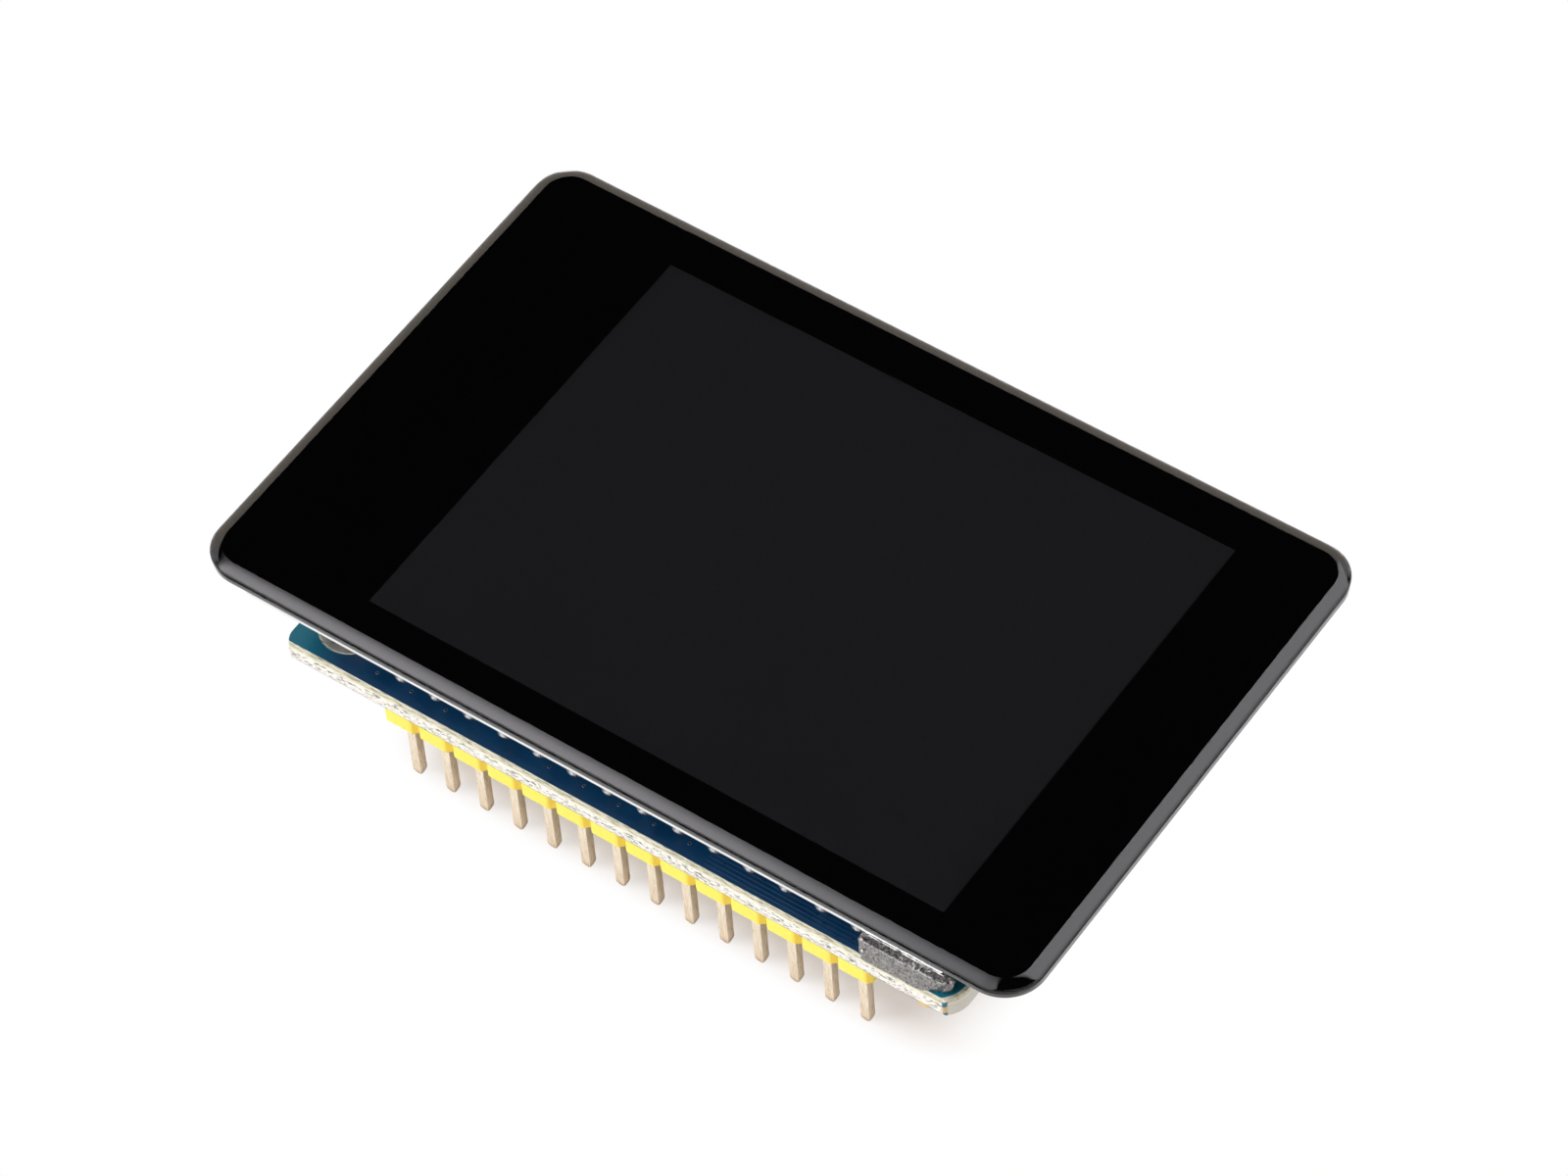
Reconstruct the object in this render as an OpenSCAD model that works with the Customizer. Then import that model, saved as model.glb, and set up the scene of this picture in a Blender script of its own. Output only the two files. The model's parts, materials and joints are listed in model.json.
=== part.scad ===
// Touch display board: a curved-edge cover glass bonded to a small backlit screen,
// carried on foam tape by a circuit board that stands on two rows of header pins.
// The frame's origin is under the middle of the glass, at the height of the pin tips.

/* [Cover glass] */
// Length of the screen window, along X
window_w = 40.8; // [36:0.1:46]
// Depth of the screen window, along Y
window_d = 30.6; // [26:0.1:36]
// Black border from the window to the left edge of the glass
border_left = 10.96; // [9.9:0.02:14]
// Black border from the window to the right edge of the glass
border_right = 7.44; // [6:0.02:12]
// Black border in front of the window and behind it
border_side = 3.4; // [3:0.05:6]
// Thickness of the cover glass
glass_t = 0.95; // [0.7:0.05:2]
// Corner radius of the cover glass, seen from above
glass_r = 2.7; // [1.5:0.1:6]
// Width of the curved edge, seen from above
edge_in = 0.71; // [0.3:0.01:1.2]
// Height of the curved edge, below the flat top
edge_drop = 0.46; // [0.2:0.01:0.65]
// Thickness of the black ink printed under the border
ink_t = 0.05; // [0.02:0.01:0.1]
// Inset of the ink from the edge of the glass
ink_inset = 0.05; // [0.02:0.01:1]
// Opening of the ink past the screen window, each way
ink_gap = 0.17; // [0:0.01:0.3]

/* [Touch sensor] */
// Thickness of the clear touch film under the ink
sensor_t = 0.18; // [0.1:0.02:0.6]
// Inset of the touch film from the edge of the glass
sensor_inset = 1.5; // [1:0.1:2]
// Thickness of the adhesive frame between the touch film and the screen
gasket_t = 0.12; // [0.11:0.01:0.3]
// Opening of the adhesive frame past the window, each way
gasket_gap = 0.6; // [0.2:0.1:0.9]

/* [Screen module] */
// Screen length to the left of the window
screen_lead = 8.5; // [8.2:0.05:10]
// Screen length to the right of the window
screen_end = 1.8; // [1.7:0.05:3]
// Screen depth in front of the window and behind it
screen_side = 2.25; // [2.05:0.05:2.9]
// Sheet thickness of the steel tray
tray_t = 0.2; // [0.1:0.05:0.3]
// Corner radius of the steel tray
tray_r = 0.5; // [0.35:0.05:1]
// Thickness of each glass pane of the screen
pane_t = 0.35; // [0.2:0.05:0.7]
// Overlap of the panes past the window on three sides
pane_lap = 1.0; // [0.8:0.05:1.1]
// Ledge of the lower pane to the left of the window, for the driver chip and the tail
pane_ledge = 5.6; // [5:0.1:6]
// Thickness of each polariser
polariser_t = 0.12; // [0.08:0.01:0.2]
// Overlap of the polarisers and light sheets past the window
sheet_lap = 0.6; // [0.3:0.05:0.75]
// Thickness of the light guide
guide_t = 0.63; // [0.5:0.01:1]
// Thickness of each light sheet over the guide
sheet_t = 0.1; // [0.05:0.01:0.2]
// Thickness of the reflector under the guide, and of the lamp strip beside it
reflector_t = 0.08; // [0.05:0.01:0.15]
// Number of lamps along the left edge of the guide
lamp_count = 4; // [2:1:6]
// Length of one lamp
lamp_w = 3.0; // [2:0.1:3.6]
// Clearance of stacked pieces in the plastic frame
seat_gap = 0.05; // [0.02:0.01:0.1]

/* [Tails] */
// Thickness of the flexible tails
tail_t = 0.1; // [0.07:0.01:0.1]
// Width of the screen's tail
screen_tail_w = 15; // [10:0.5:18]
// Middle of the screen's tail, along Y
screen_tail_y = -2.5; // [-4:0.5:-1]
// Width of the touch film's tail
touch_tail_w = 5; // [4:0.5:6]
// Middle of the touch film's tail, along Y
touch_tail_y = 9.5; // [9:0.5:10]
// Length of the tails under the board, from its left end
tail_run = 6.5; // [5:0.1:8]

/* [Circuit board] */
// Length of the board
board_w = 48.4; // [42:0.1:58]
// Middle of the board along X, from the middle of the glass
board_x = 0.75; // [0:0.05:1.5]
// How far the board's long edges stand past the screen
board_lip = 0.75; // [0.5:0.05:1.5]
// Thickness of the board
board_t = 1.6; // [1:0.1:2]
// Radius of the board's corners, which its scored long edges cut short
board_r = 1.2; // [0.8:0.1:2]
// Part of the corner's rounding that the scored edge cuts away
score_cut = 0.45; // [0.1:0.05:0.7]
// Share of the board's thickness that the score along a long edge cuts, from each face
score_share = 0.32; // [0.1:0.02:0.44]
// How far the snapped web stands out past the scored faces
score_lean = 0.12; // [0.05:0.01:0.3]
// Thickness of the foam tape between the screen and the board
tape_t = 1.15; // [1.05:0.05:2]
// Width of each strip of foam tape
tape_w = 4; // [2:0.5:6]
// Length of each strip of foam tape
tape_len = 30; // [16:1:36]
// Radius of the mounting holes, inside their plating
hole_r = 1.1; // [0.8:0.05:1.3]
// Radius of the tinned ring round a mounting hole
ring_r = 1.95; // [1.6:0.05:2.1]
// Distance of the mounting holes from the board's left end
hole_inset_x = 2.85; // [2.4:0.05:3.4]
// Distance of the mounting holes from the board's long edges
hole_inset_y = 2.85; // [2.4:0.05:3.4]
// Thickness of the plating on a hole's wall and faces
plating_t = 0.05; // [0.03:0.01:0.08]

/* [Pin headers] */
// Spacing of the pins
pitch = 2.54; // [2:0.01:2.54]
// Board length kept free at each end of a pin row
row_end = 6.2; // [6:0.1:7]
// Board depth kept free outside each pin row
row_margin = 1.6; // [1.5:0.05:2]
// Thickness of a square pin
pin_s = 0.64; // [0.4:0.02:0.66]
// Length of a pin below its insulator
pin_reach = 6.0; // [3:0.1:11]
// Length of a pin above the board
pin_tail = 0.85; // [0.7:0.05:0.95]
// Length of the taper at a pin's ends
pin_taper = 0.5; // [0.2:0.05:0.6]
// Height of the insulator strip
strip_h = 2.4; // [1.5:0.1:2.6]
// Width of the insulator strip
strip_w = 2.4; // [2:0.1:2.6]
// Corner cut on each unit of the strip
strip_cut = 0.3; // [0.1:0.05:0.5]
// Radius of a pin's drilled hole in the board
drill_r = 0.5; // [0.48:0.01:0.6]
// Rim of a pin's solder joint round its drilled hole
joint_rim = 0.08; // [0.05:0.01:0.3]
// Height of a pin's solder joint
joint_h = 0.62; // [0.4:0.02:0.65]

/* [Solder bond and coaxial socket] */
// Left end of the solder bond, from the middle of the board
bond_x = 17.3; // [14:0.1:17.5]
// Length of the solder bond along the screen
bond_w = 6.1; // [3:0.1:6.2]
// Height of the solder bond on the screen's side
bond_rise = 0.3; // [0.1:0.05:0.6]
// Middle of the coaxial socket, from the board's right end
socket_inset_x = 2.7; // [1.6:0.05:3.2]
// Middle of the coaxial socket, from the board's front edge
socket_inset_y = 1.45; // [1.35:0.05:1.6]
// Side of the socket's square base
socket_w = 2.6; // [2.2:0.1:2.6]
// Outer radius of the socket's ring
socket_r = 1.0; // [0.8:0.02:1.05]
// Height of the socket
socket_h = 1.25; // [0.9:0.05:1.5]

/* [Parts under the board] */
// Side of the square controller chip
controller_w = 7; // [5:0.1:8]
// Thickness of the controller chip
controller_t = 0.85; // [0.6:0.05:1]
// Number of contacts on each side of the controller chip
controller_contacts = 14; // [8:1:14]
// Length of the memory chip's body
memory_w = 5.2; // [4.4:0.1:5.4]
// Height of the memory chip
memory_t = 1.75; // [1.2:0.05:2]
// Length of the crystal's case
crystal_w = 3.2; // [2.5:0.1:3.4]
// Length of the regulator's body
regulator_w = 2.9; // [2.6:0.1:3.1]
// Side of the square inductor
inductor_w = 3.0; // [2.5:0.1:3.2]
// Length of a capacitor
capacitor_l = 1.6; // [1:0.1:1.7]
// Length of a resistor
resistor_l = 1.0; // [0.8:0.05:1.2]

/* [Hidden] */
$fn = 48;

// Overlap that makes a cut pass clean through a face
over = 0.1;

// Outlines that follow from the window
glass_w = border_left + window_w + border_right;
glass_d = window_d + 2 * border_side;
window_x = (border_left - border_right) / 2;
window_left = window_x - window_w / 2;
window_right = window_x + window_w / 2;
screen_left = window_left - screen_lead;
screen_right = window_right + screen_end;
screen_w = screen_right - screen_left;
screen_x = (screen_left + screen_right) / 2;
screen_d = window_d + 2 * screen_side;
board_d = screen_d + 2 * board_lip;
board_left = board_x - board_w / 2;
board_right = board_x + board_w / 2;
board_front = -board_d / 2;
score_depth = board_t * score_share;

// Heights, from the pin tips up
board_z = pin_reach + strip_h;
board_top = board_z + board_t;
screen_z = board_top + tape_t;
reflector_z = screen_z + tray_t;
guide_z = reflector_z + reflector_t;
diffuser_z = guide_z + guide_t;
prism_z = diffuser_z + sheet_t;
rear_polariser_z = prism_z + sheet_t;
lower_pane_z = rear_polariser_z + polariser_t;
upper_pane_z = lower_pane_z + pane_t;
front_polariser_z = upper_pane_z + pane_t;
gasket_z = front_polariser_z + polariser_t;
sensor_z = gasket_z + gasket_t;
ink_z = sensor_z + sensor_t;
glass_z = ink_z + ink_t;

// Screen stack
tray_wall_z = upper_pane_z - seat_gap;
frame_w = screen_w - 2 * (tray_t + seat_gap);
frame_d = screen_d - 2 * (tray_t + seat_gap);
frame_r = tray_r - tray_t;
frame_h = gasket_z - reflector_z;
pane_right = window_right + pane_lap;
pane_d = window_d + 2 * pane_lap;
ledge_left = window_left - pane_ledge;
sheet_left = window_left - sheet_lap;
sheet_w = window_w + 2 * sheet_lap;
sheet_d = window_d + 2 * sheet_lap;
lamp_d = 1.0;
lamp_h = guide_t - 0.1;
lamp_well = lamp_d + 0.6;
lamp_pitch = sheet_d / lamp_count;
driver_w = 16;
driver_d = 1.1;
driver_t = 0.28;
driver_x = window_left - 2.0;

// Tails: each leaves its layer, bends down round the board's left end and comes back under it
screen_tail_turn = screen_left - seat_gap;
touch_tail_turn = screen_left + 0.15;
tail_end = board_left + tail_run;
tail_pad_w = 0.5;
tail_pad_h = 0.14;
touch_chip_w = 3.0;
touch_chip_t = 0.6;

// Pin rows: as many pins and as wide apart as the grid lets the board hold
pin_count = floor((board_w - 2 * row_end) / pitch);
row_steps = floor((board_d - 2 * row_margin) / pitch);
row_y = row_steps * pitch / 2;
pin_first = board_x - (pin_count - 1) * pitch / 2;
pin_fit = 0.01;
pin_nose = pin_s / 2;
joint_r = drill_r + joint_rim;
joint_top_r = pin_s * 0.72;

// Mounting holes, along the board's left end
hole_x = board_left + hole_inset_x;
hole_y = board_d / 2 - hole_inset_y;

// Solder bond between the screen's tray and the board's front edge
bond_left = board_x + bond_x;
bond_back = -screen_d / 2 + 0.1;
bond_front = board_front + 0.02;
bond_round = 0.55;

// Places of the parts under the board, from its middle
controller_x = board_x + 1.5;
memory_x = controller_x + controller_w / 2 + 5.2;
memory_y = 4.6;
memory_depth = 5.3;
memory_pitch = 1.27;
crystal_x = controller_x - 1.2;
crystal_y = -controller_w / 2 - 2.6;
crystal_d = 2.5;
crystal_t = 0.75;
regulator_x = controller_x - controller_w / 2 - 4.6;
regulator_y = 7.2;
regulator_d = 1.6;
regulator_t = 1.1;
inductor_x = regulator_x;
inductor_y = -6.4;
inductor_t = 1.2;
capacitor_w = 0.8;
capacitor_t = 0.8;
resistor_w = 0.5;
resistor_t = 0.35;
part_pitch = 1.7;
part_gap = 1.5;
lead_t = 0.15;

// Rounded rectangle, centred
module rounded_rect(w, d, r) {
    square([w - 2 * r, d], center = true);
    square([w, d - 2 * r], center = true);
    for (sx = [-1, 1], sy = [-1, 1])
        translate([sx * (w / 2 - r), sy * (d / 2 - r)])
            circle(r);
}

// Flat plate on the XY plane with rounded corners
module plate(w, d, t, r) {
    linear_extrude(t)
        rounded_rect(w, d, r);
}

// Block centred in X and Y on its lower face
module block(w, d, t) {
    translate([-w / 2, -d / 2, 0])
        cube([w, d, t]);
}

// Sheet of the screen stack from its left end, centred in Y
module stack_sheet(left, w, d, z, t) {
    translate([left, -d / 2, z])
        cube([w, d, t]);
}

// Section through the glass edge: u is the distance out from the corner's centre
module edge_section() {
    arc_r = (edge_in * edge_in + edge_drop * edge_drop) / (2 * edge_drop);
    difference() {
        square([glass_r, glass_t]);
        difference() {
            translate([glass_r - edge_in, glass_t - edge_drop])
                square([edge_in + over, edge_drop + over]);
            translate([glass_r - edge_in, glass_t - arc_r])
                circle(arc_r);
        }
    }
}

// One straight side of the glass: its section run along X and facing +Y
module edge_run(length, out) {
    translate([-length / 2, out, 0])
        rotate([90, 0, 90])
            linear_extrude(length)
                edge_section();
}

module cover_glass() {
    side_x = glass_w / 2 - glass_r;
    side_y = glass_d / 2 - glass_r;
    color([0.05, 0.05, 0.06])
        translate([0, 0, glass_z]) {
            block(2 * side_x, 2 * side_y, glass_t);
            for (turn = [0, 180])
                rotate(turn)
                    edge_run(2 * side_x, side_y);
            for (turn = [90, 270])
                rotate(turn)
                    edge_run(2 * side_y, side_x);
            for (sx = [-1, 1], sy = [-1, 1])
                translate([sx * side_x, sy * side_y, 0])
                    rotate_extrude()
                        edge_section();
        }
}

module black_border() {
    color([0.01, 0.01, 0.01])
        translate([0, 0, ink_z])
            difference() {
                plate(glass_w - 2 * ink_inset, glass_d - 2 * ink_inset, ink_t, glass_r - ink_inset);
                translate([window_x, 0, -over])
                    block(window_w + 2 * ink_gap, window_d + 2 * ink_gap, ink_t + 2 * over);
            }
}

module touch_sensor() {
    color([0.6, 0.62, 0.63, 0.4])
        translate([0, 0, sensor_z])
            plate(glass_w - 2 * sensor_inset, glass_d - 2 * sensor_inset, sensor_t, 1);
}

module panel_gasket() {
    tail_notch_w = touch_tail_w + 2 * seat_gap;
    color([0.1, 0.1, 0.1])
        translate([0, 0, gasket_z])
            difference() {
                translate([screen_x, 0, 0])
                    plate(frame_w, frame_d, gasket_t, frame_r);
                translate([window_x, 0, -over])
                    block(window_w + 2 * gasket_gap, window_d + 2 * gasket_gap, gasket_t + 2 * over);
                translate([screen_left - over, touch_tail_y - tail_notch_w / 2, -over])
                    cube([ledge_left - screen_left, tail_notch_w, gasket_t + 2 * over]);
            }
}

module front_polariser() {
    color([0.1, 0.1, 0.11])
        stack_sheet(sheet_left, sheet_w, sheet_d, front_polariser_z, polariser_t);
}

module filter_pane() {
    color([0.35, 0.38, 0.4])
        stack_sheet(window_left - pane_lap, window_w + 2 * pane_lap, pane_d, upper_pane_z, pane_t);
}

module transistor_pane() {
    color([0.4, 0.44, 0.46])
        stack_sheet(ledge_left, pane_right - ledge_left, pane_d, lower_pane_z, pane_t);
}

module driver_chip() {
    color([0.2, 0.2, 0.22])
        translate([driver_x, 0, upper_pane_z])
            block(driver_d, driver_w, driver_t);
}

module rear_polariser() {
    color([0.1, 0.1, 0.11])
        stack_sheet(sheet_left, sheet_w, sheet_d, rear_polariser_z, polariser_t);
}

module prism_sheet() {
    color([0.85, 0.87, 0.88])
        stack_sheet(sheet_left, sheet_w, sheet_d, prism_z, sheet_t);
}

module diffuser_sheet() {
    color([0.95, 0.95, 0.95])
        stack_sheet(sheet_left, sheet_w, sheet_d, diffuser_z, sheet_t);
}

module light_guide() {
    color([0.88, 0.92, 0.93])
        stack_sheet(sheet_left, sheet_w, sheet_d, guide_z, guide_t);
}

module reflector_sheet() {
    color([0.97, 0.97, 0.97])
        stack_sheet(sheet_left, sheet_w, sheet_d, reflector_z, reflector_t);
}

module lamp_strip() {
    color([0.75, 0.55, 0.2])
        stack_sheet(sheet_left - lamp_well + seat_gap, lamp_well - 2 * seat_gap, sheet_d,
            reflector_z, reflector_t);
}

module backlight_lamps() {
    color([0.98, 0.93, 0.7])
        for (i = [0 : lamp_count - 1])
            translate([sheet_left - lamp_d / 2 - seat_gap, (i - (lamp_count - 1) / 2) * lamp_pitch, guide_z])
                block(lamp_d, lamp_w, lamp_h);
}

// Moulded frame: a lower well for the light sheets and lamps, an upper well for the panes
module screen_frame() {
    slot_w = screen_tail_w + 2 * seat_gap;
    color([0.92, 0.92, 0.9])
        difference() {
            translate([screen_x, 0, reflector_z])
                plate(frame_w, frame_d, frame_h, frame_r);
            stack_sheet(sheet_left - lamp_well, sheet_w + lamp_well + seat_gap, sheet_d + 2 * seat_gap,
                reflector_z - over, frame_h + 2 * over);
            stack_sheet(ledge_left - seat_gap, pane_right - ledge_left + 2 * seat_gap,
                pane_d + 2 * seat_gap, lower_pane_z, frame_h);
            translate([screen_left - over, screen_tail_y - slot_w / 2, upper_pane_z])
                cube([ledge_left - screen_left + 2 * over, slot_w, frame_h]);
        }
}

// Folded steel tray: floor and walls of one sheet
module screen_tray() {
    color([0.93, 0.93, 0.92])
        translate([screen_x, 0, screen_z])
            difference() {
                plate(screen_w, screen_d, tray_wall_z - screen_z, tray_r);
                translate([0, 0, tray_t])
                    plate(screen_w - 2 * tray_t, screen_d - 2 * tray_t, tray_wall_z, tray_r - tray_t);
            }
}

// Flexible strip in a U: along its layer, round a half turn, and back along the board's underside
module folded_tail(w, start, turn, layer_z) {
    bend_r = (layer_z - board_z) / 2;
    mid_z = (layer_z + board_z) / 2;
    translate([0, w / 2, 0])
        rotate([90, 0, 0])
            linear_extrude(w)
                union() {
                    translate([turn, layer_z])
                        square([start - turn, tail_t]);
                    translate([turn, board_z - tail_t])
                        square([tail_end - turn, tail_t]);
                    translate([turn, mid_z])
                        difference() {
                            circle(bend_r + tail_t);
                            circle(bend_r);
                            translate([0, -2 * bend_r])
                                square(4 * bend_r);
                        }
                }
}

module screen_tail() {
    color([0.8, 0.55, 0.2])
        translate([0, screen_tail_y, 0])
            folded_tail(screen_tail_w, driver_x - driver_d, screen_tail_turn, upper_pane_z);
}

module touch_tail() {
    color([0.8, 0.55, 0.2])
        translate([0, touch_tail_y, 0])
            folded_tail(touch_tail_w, ledge_left - 0.4, touch_tail_turn, sensor_z - tail_t);
}

// Row of small solder fillets that hold a tail's end to the underside of the board
module tail_solder(y, w) {
    count = floor(w / (2 * tail_pad_w));
    color([0.75, 0.75, 0.76])
        for (i = [0 : count - 1])
            translate([tail_end, y + (i - (count - 1) / 2) * 2 * tail_pad_w, board_z])
                rotate([90, 0, 0])
                    linear_extrude(tail_pad_w, center = true)
                        polygon([[0, 0], [0.6, 0], [0.3, -tail_pad_h * 0.7], [0, -tail_t]]);
}

module screen_tail_solder() {
    tail_solder(screen_tail_y, screen_tail_w);
}

module touch_tail_solder() {
    tail_solder(touch_tail_y, touch_tail_w);
}

module touch_chip() {
    color([0.1, 0.1, 0.1])
        translate([(board_left + tail_end) / 2, touch_tail_y, board_z - tail_t - touch_chip_t])
            block(touch_chip_w, touch_chip_w, touch_chip_t);
}

module foam_tape(side) {
    tape_y = row_y - joint_r - tape_w / 2 - 0.6;
    color([0.12, 0.12, 0.12])
        translate([board_x, side * tape_y, board_top])
            block(tape_len, tape_w, tape_t);
}

module foam_tape_front() {
    foam_tape(-1);
}

module foam_tape_rear() {
    foam_tape(1);
}

// Section of the board across its length: a snapped web stands out between two scored faces
module scored_bar() {
    face = board_d / 2;
    web = face + score_lean;
    rotate([90, 0, 90])
        linear_extrude(board_w, center = true)
            polygon([[-face, 0], [face, 0], [web, score_depth], [web, board_t - score_depth],
                [face, board_t], [-face, board_t], [-web, board_t - score_depth], [-web, score_depth]]);
}

// The two ends are routed with round corners, and the long edges are scored and snapped inside them
module circuit_board() {
    color([0.05, 0.2, 0.3])
        translate([0, 0, board_z])
            difference() {
                translate([board_x, 0, 0])
                    intersection() {
                        plate(board_w, board_d + 2 * score_cut, board_t, board_r);
                        scored_bar();
                    }
                for (side = [-1, 1]) {
                    for (i = [0 : pin_count - 1])
                        translate([pin_first + i * pitch, side * row_y, -over])
                            cylinder(h = board_t + 2 * over, r = drill_r);
                    translate([hole_x, side * hole_y, -over])
                        cylinder(h = board_t + 2 * over, r = hole_r + plating_t);
                }
            }
}

// Plated mounting holes: a thin barrel through the board with a tinned ring on each face
module hole_plating() {
    color([0.75, 0.74, 0.72])
        for (side = [-1, 1])
            translate([hole_x, side * hole_y, board_z])
                difference() {
                    union() {
                        cylinder(h = board_t, r = hole_r + plating_t);
                        translate([0, 0, board_t])
                            cylinder(h = plating_t, r = ring_r);
                        translate([0, 0, -plating_t])
                            cylinder(h = plating_t, r = ring_r);
                    }
                    translate([0, 0, -1])
                        cylinder(h = board_t + 2, r = hole_r);
                }
}

// Insulator strip: one eight-sided unit for each pin, with a notch between neighbours
module header_strip(side) {
    half = pitch / 2;
    deep = strip_w / 2;
    color([1, 0.9, 0.25])
        translate([pin_first, side * row_y, pin_reach])
            linear_extrude(strip_h)
                for (i = [0 : pin_count - 1])
                    translate([i * pitch, 0])
                        difference() {
                            polygon([[-half, -deep + strip_cut], [-half + strip_cut, -deep],
                                [half - strip_cut, -deep], [half, -deep + strip_cut],
                                [half, deep - strip_cut], [half - strip_cut, deep],
                                [-half + strip_cut, deep], [-half, deep - strip_cut]]);
                            square(pin_s + 2 * pin_fit, center = true);
                        }
}

module header_strip_front() {
    header_strip(-1);
}

module header_strip_rear() {
    header_strip(1);
}

// Side view of a pin: square wire with both ends cut to a taper
module pin_side() {
    top = board_top + pin_tail;
    half = pin_s / 2;
    nose = pin_nose / 2;
    rotate([90, 0, 0])
        linear_extrude(pin_s + 2 * over, center = true)
            polygon([[-nose, 0], [nose, 0], [half, pin_taper], [half, top - pin_taper],
                [nose, top], [-nose, top], [-half, top - pin_taper], [-half, pin_taper]]);
}

module header_pins(side) {
    color([0.8, 0.75, 0.68])
        for (i = [0 : pin_count - 1])
            translate([pin_first + i * pitch, side * row_y, 0])
                intersection() {
                    pin_side();
                    rotate(90)
                        pin_side();
                }
}

module header_pins_front() {
    header_pins(-1);
}

module header_pins_rear() {
    header_pins(1);
}

// Solder joint: a hollow-sided cone from the board's pad up the pin
module header_solder(side) {
    steps = 5;
    flank = [for (i = [0 : steps])
        [joint_top_r + (joint_r - joint_top_r) * (1 - sin(90 * i / steps)), joint_h * (1 - cos(90 * i / steps))]];
    color([0.78, 0.78, 0.78])
        for (i = [0 : pin_count - 1])
            translate([pin_first + i * pitch, side * row_y, board_top])
                difference() {
                    rotate_extrude()
                        polygon(concat([[0, 0]], flank, [[0, joint_h]]));
                    translate([0, 0, -over])
                        block(pin_s, pin_s, joint_h + 2 * over);
                }
}

module header_solder_front() {
    header_solder(-1);
}

module header_solder_rear() {
    header_solder(1);
}

// Solder bond: a fillet from the board's front edge up to the tray's lower front edge
module frame_solder() {
    screen_front = -screen_d / 2;
    color([0.5, 0.5, 0.5])
        intersection() {
            translate([bond_left, 0, 0])
                rotate([90, 0, 90])
                    linear_extrude(bond_w)
                        polygon([[bond_back, board_top], [bond_front, board_top],
                            [bond_front + 0.12, board_top + 0.35], [screen_front - 0.25, screen_z - 0.1],
                            [screen_front - 0.08, screen_z + bond_rise], [screen_front, screen_z + bond_rise],
                            [screen_front, screen_z], [bond_back, screen_z]]);
            translate([bond_left, bond_front, board_top - 1])
                linear_extrude(tape_t + 3)
                    union() {
                        square([bond_w - bond_round, 3]);
                        translate([0, bond_round])
                            square([bond_w, 3]);
                        translate([bond_w - bond_round, bond_round])
                            circle(bond_round);
                    }
        }
}

// Places the coaxial socket's pieces, with Z up from the socket's lower end to the board
module at_socket() {
    translate([board_right - socket_inset_x, board_front + socket_inset_y, board_z - socket_h])
        children();
}

module socket_base() {
    base_t = 0.35;
    color([0.93, 0.92, 0.88])
        at_socket()
            translate([0, 0, socket_h - base_t])
                difference() {
                    block(socket_w, socket_w, base_t);
                    translate([0, 0, -over])
                        cylinder(h = base_t + 2 * over, r = socket_r * 0.2);
                }
}

module socket_ring() {
    wall = 0.2;
    rise = socket_h - 0.35;
    color([0.88, 0.7, 0.3])
        at_socket()
            rotate_extrude()
                polygon([[socket_r - wall, 0], [socket_r - 0.06, 0], [socket_r, 0.1], [socket_r, 0.3],
                    [socket_r - 0.08, 0.4], [socket_r - 0.08, rise - 0.1], [socket_r, rise],
                    [socket_r - wall, rise]]);
}

module socket_pin() {
    color([0.88, 0.7, 0.3])
        at_socket()
            translate([0, 0, 0.3])
                cylinder(h = socket_h - 0.3, r = socket_r * 0.2 - pin_fit);
}

// Places a part under the board: Z runs down from the underside
module under(x, y) {
    translate([x, y, board_z])
        mirror([0, 0, 1])
            children();
}

module controller_chip() {
    color([0.09, 0.09, 0.09])
        under(controller_x, 0)
            translate([0, 0, lead_t])
                block(controller_w, controller_w, controller_t);
}

// Flat contacts round the controller's lower edge
module controller_contacts_row() {
    step = controller_w / (controller_contacts + 1.5);
    color([0.8, 0.79, 0.76])
        under(controller_x, 0)
            for (turn = [0 : 90 : 270], i = [0 : controller_contacts - 1])
                rotate(turn)
                    translate([controller_w / 2 - 0.15, (i - (controller_contacts - 1) / 2) * step, 0])
                        block(0.4, step / 2, lead_t);
}

// Gull-wing lead in side view: foot on the board, leg up to the body
module gull_lead(w, reach, rise) {
    rotate([90, 0, 0])
        linear_extrude(w, center = true)
            polygon([[-over, rise], [reach * 0.45, rise], [reach * 0.45 + lead_t, rise - lead_t],
                [reach * 0.45 + lead_t, lead_t], [reach, lead_t], [reach, 0],
                [reach * 0.45, 0], [reach * 0.45, rise - lead_t], [-over, rise - lead_t]]);
}

// Leads in a row along both sides of a chip
module lead_rows(count_a, count_b, step, half_d, w, reach, rise) {
    for (row = [[90, count_a], [270, count_b]], i = [0 : row[1] - 1])
        rotate(row[0])
            translate([half_d + over, (i - (row[1] - 1) / 2) * step * (row[1] == 2 ? 2 : 1), 0])
                gull_lead(w, reach, rise);
}

module memory_chip() {
    color([0.1, 0.1, 0.1])
        under(memory_x, memory_y)
            translate([0, 0, 0.1])
                difference() {
                    block(memory_w, memory_depth, memory_t - 0.1);
                    translate([-memory_w / 2 + 0.9, -memory_depth / 2 + 0.9, memory_t - 0.2])
                        cylinder(h = 0.2, r = 0.35);
                }
}

module memory_leads() {
    color([0.8, 0.8, 0.8])
        under(memory_x, memory_y)
            lead_rows(4, 4, memory_pitch, memory_depth / 2, 0.42, 1.3, memory_t / 2);
}

module crystal_base() {
    color([0.85, 0.82, 0.75])
        under(crystal_x, crystal_y)
            block(crystal_w, crystal_d, crystal_t * 0.5);
}

module crystal_lid() {
    color([0.82, 0.82, 0.82])
        under(crystal_x, crystal_y)
            translate([0, 0, crystal_t * 0.5])
                plate(crystal_w - 0.3, crystal_d - 0.3, crystal_t * 0.5, 0.3);
}

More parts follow.
